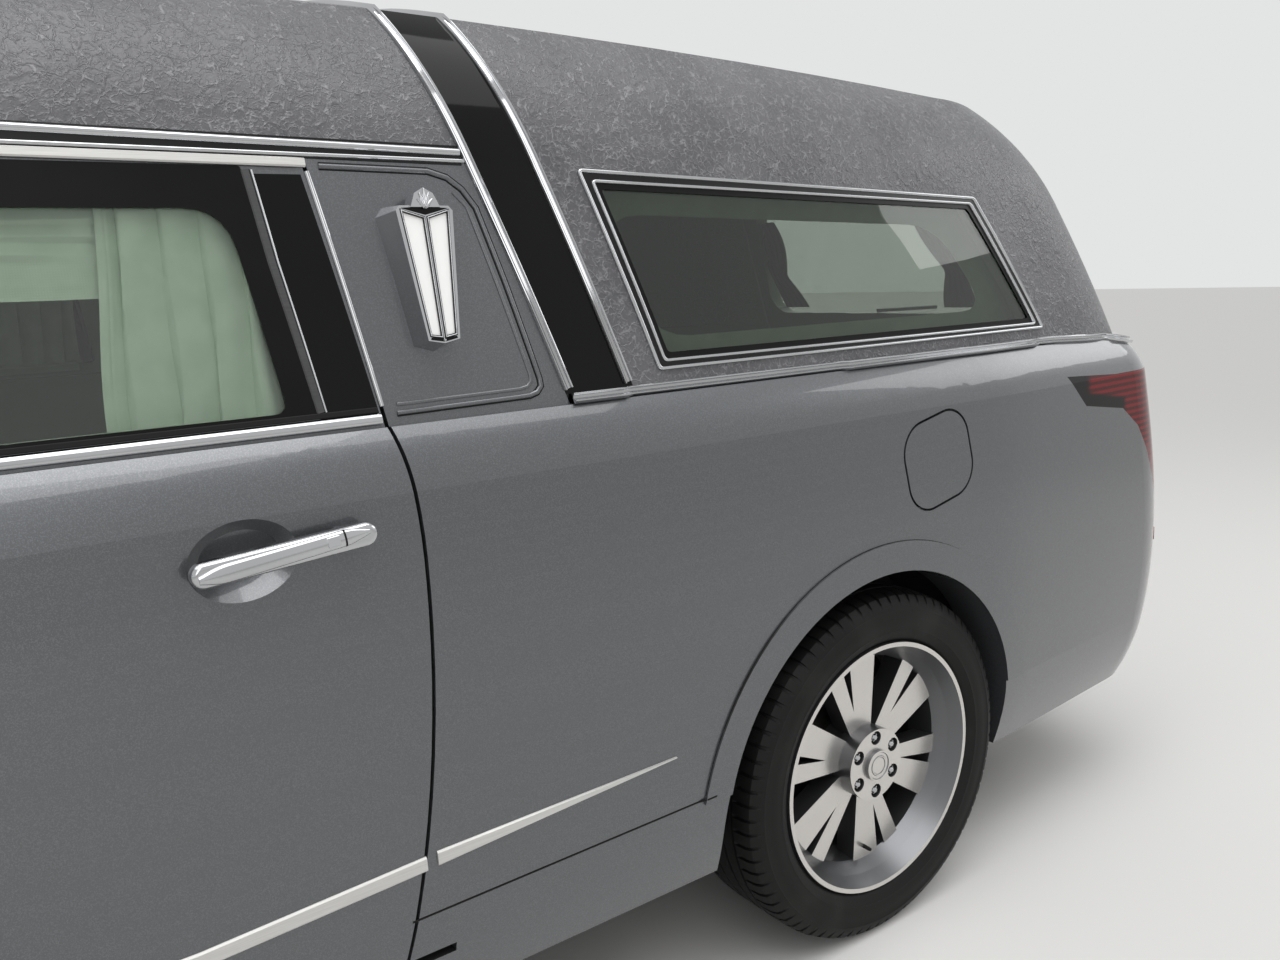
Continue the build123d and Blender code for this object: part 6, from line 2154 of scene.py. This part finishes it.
@dataclass
class Studio:
    """Pale floor, soft lights and the camera at the photograph's place."""

    floor_colour: str = "#dcdbd9"
    room_colour: str = "#e3e4e4"
    camera_place: Point3 = (2.3509, 0.1160, 1.4255)
    yaw: float = 0.953458809
    pitch: float = 0.192022135
    roll: float = -0.0427926988
    lens_mm: float = 30.04

    def build(self) -> None:
        """Sets the stage, the room, the lamps and the camera."""
        self.floor()
        self.room()
        self.lamps()
        self.camera()

    def floor(self) -> None:
        """Lays a matt floor under the coach."""
        mesh = bpy.data.meshes.new("studio_floor")
        reach = 40.0
        mesh.from_pydata([(-reach, -reach, 0), (reach, -reach, 0), (reach, reach, 0), (-reach, reach, 0)], [],
                         [(0, 1, 2, 3)])
        material = bpy.data.materials.new("matt_floor")
        material.use_nodes = True
        shader = material.node_tree.nodes["Principled BSDF"]
        shader.inputs["Base Color"].default_value = linear(self.floor_colour)
        shader.inputs["Roughness"].default_value = 0.9
        shader.inputs["Specular IOR Level"].default_value = 0.2
        mesh.materials.append(material)
        floor = bpy.data.objects.new("studio_floor", mesh)
        bpy.context.scene.collection.objects.link(floor)

    def room(self) -> None:
        """Lights the room evenly, and shows a pale wall to the eye and in reflections."""
        world = bpy.data.worlds.new("studio")
        world.use_nodes = True
        tree = world.node_tree
        background = tree.nodes["Background"]
        background.inputs["Color"].default_value = linear(self.room_colour)
        room = Canvas(tree, background)
        kinds = [room.add("LightPath", output=f"Is {kind} Ray")
                 for kind in ("Camera", "Glossy", "Transmission")]
        mirrored = room.add("Math", kinds[1:], operation="MAXIMUM")
        seen = room.add("Math", (kinds[0], mirrored), operation="MAXIMUM")
        room.feed("Strength", room.add("MapRange", (seen, 0, 1, 0.62, 1.0), **SMOOTH))
        bpy.context.scene.world = world

    def lamps(self) -> None:
        """Hangs soft boxes above and beside the coach, and a soft sky over it."""
        boxes = (("overhead", (1.5, 0.5, 4.6), (0.2, 0.6, 0.6), 6.0, 2.2, 70.0),
                 ("left", (5.5, -1.0, 3.0), (0.6, 0.8, 0.9), 2.2, 4.0, 40.0),
                 ("rear", (2.5, 6.5, 3.4), (0.3, 1.8, 0.9), 3.0, 2.0, 35.0))
        for name, spot, target, width, height, power in boxes:
            lamp = bpy.data.lights.new(f"softbox_{name}", "AREA")
            lamp.shape, lamp.size, lamp.size_y, lamp.energy = "RECTANGLE", width, height, power
            holder = bpy.data.objects.new(f"softbox_{name}", lamp)
            holder.location = spot
            aim = Vector(target) - Vector(spot)
            holder.rotation_euler = aim.to_track_quat("-Z", "Y").to_euler()
            bpy.context.scene.collection.objects.link(holder)
        lamp = bpy.data.lights.new("soft_sky", "SUN")
        lamp.energy, lamp.angle = 1.1, math.radians(50)
        holder = bpy.data.objects.new("soft_sky", lamp)
        holder.rotation_euler = Vector((-0.35, 0.1, -1.0)).to_track_quat("-Z", "Y").to_euler()
        bpy.context.scene.collection.objects.link(holder)

    def camera(self) -> None:
        """Stands the camera where the photograph was taken from."""
        forward = Vector((-math.sin(self.yaw) * math.cos(self.pitch),
                          math.cos(self.yaw) * math.cos(self.pitch), -math.sin(self.pitch)))
        level = Vector((math.cos(self.yaw), math.sin(self.yaw), 0))
        raised = level.cross(forward)
        right = level * math.cos(self.roll) + raised * math.sin(self.roll)
        up = raised * math.cos(self.roll) - level * math.sin(self.roll)
        lens = bpy.data.cameras.new("camera")
        lens.lens, lens.sensor_width = self.lens_mm, 36.0
        lens.clip_start, lens.clip_end = 0.05, 200.0
        camera = bpy.data.objects.new("camera", lens)
        basis = Matrix((right, up, -forward)).transposed().to_4x4()
        camera.matrix_world = Matrix.Translation(self.camera_place) @ basis
        bpy.context.scene.collection.objects.link(camera)
        bpy.context.scene.camera = camera


def main() -> None:
    """Builds the sub-assemblies in order."""
    logging.basicConfig(level=logging.INFO, format="%(message)s")
    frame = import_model()
    bpy.context.scene.view_settings.view_transform = "Standard"
    shop = Workshop(frame)
    shop.dress_nodes()
    Studio().build()
    for assembly in (RoofTrim(shop), QuarterWindow(shop), SideDoors(shop), SailPanel(shop),
                     DoorCurtains(shop), CoachLamp(shop), DoorGrips(shop), LowerTrim(shop), ArchSeams(shop),
                     *(Tyre(shop, row) for row in Row), *(WheelDress(shop, row) for row in Row),
                     GrilleBars(shop), FrontFittings(shop), TailEnd(shop), Seats(shop), TailDrapes(shop)):
        assembly.build()
    LOG.info("%d pieces", shop.count)


if __name__ == "__main__":
    main()
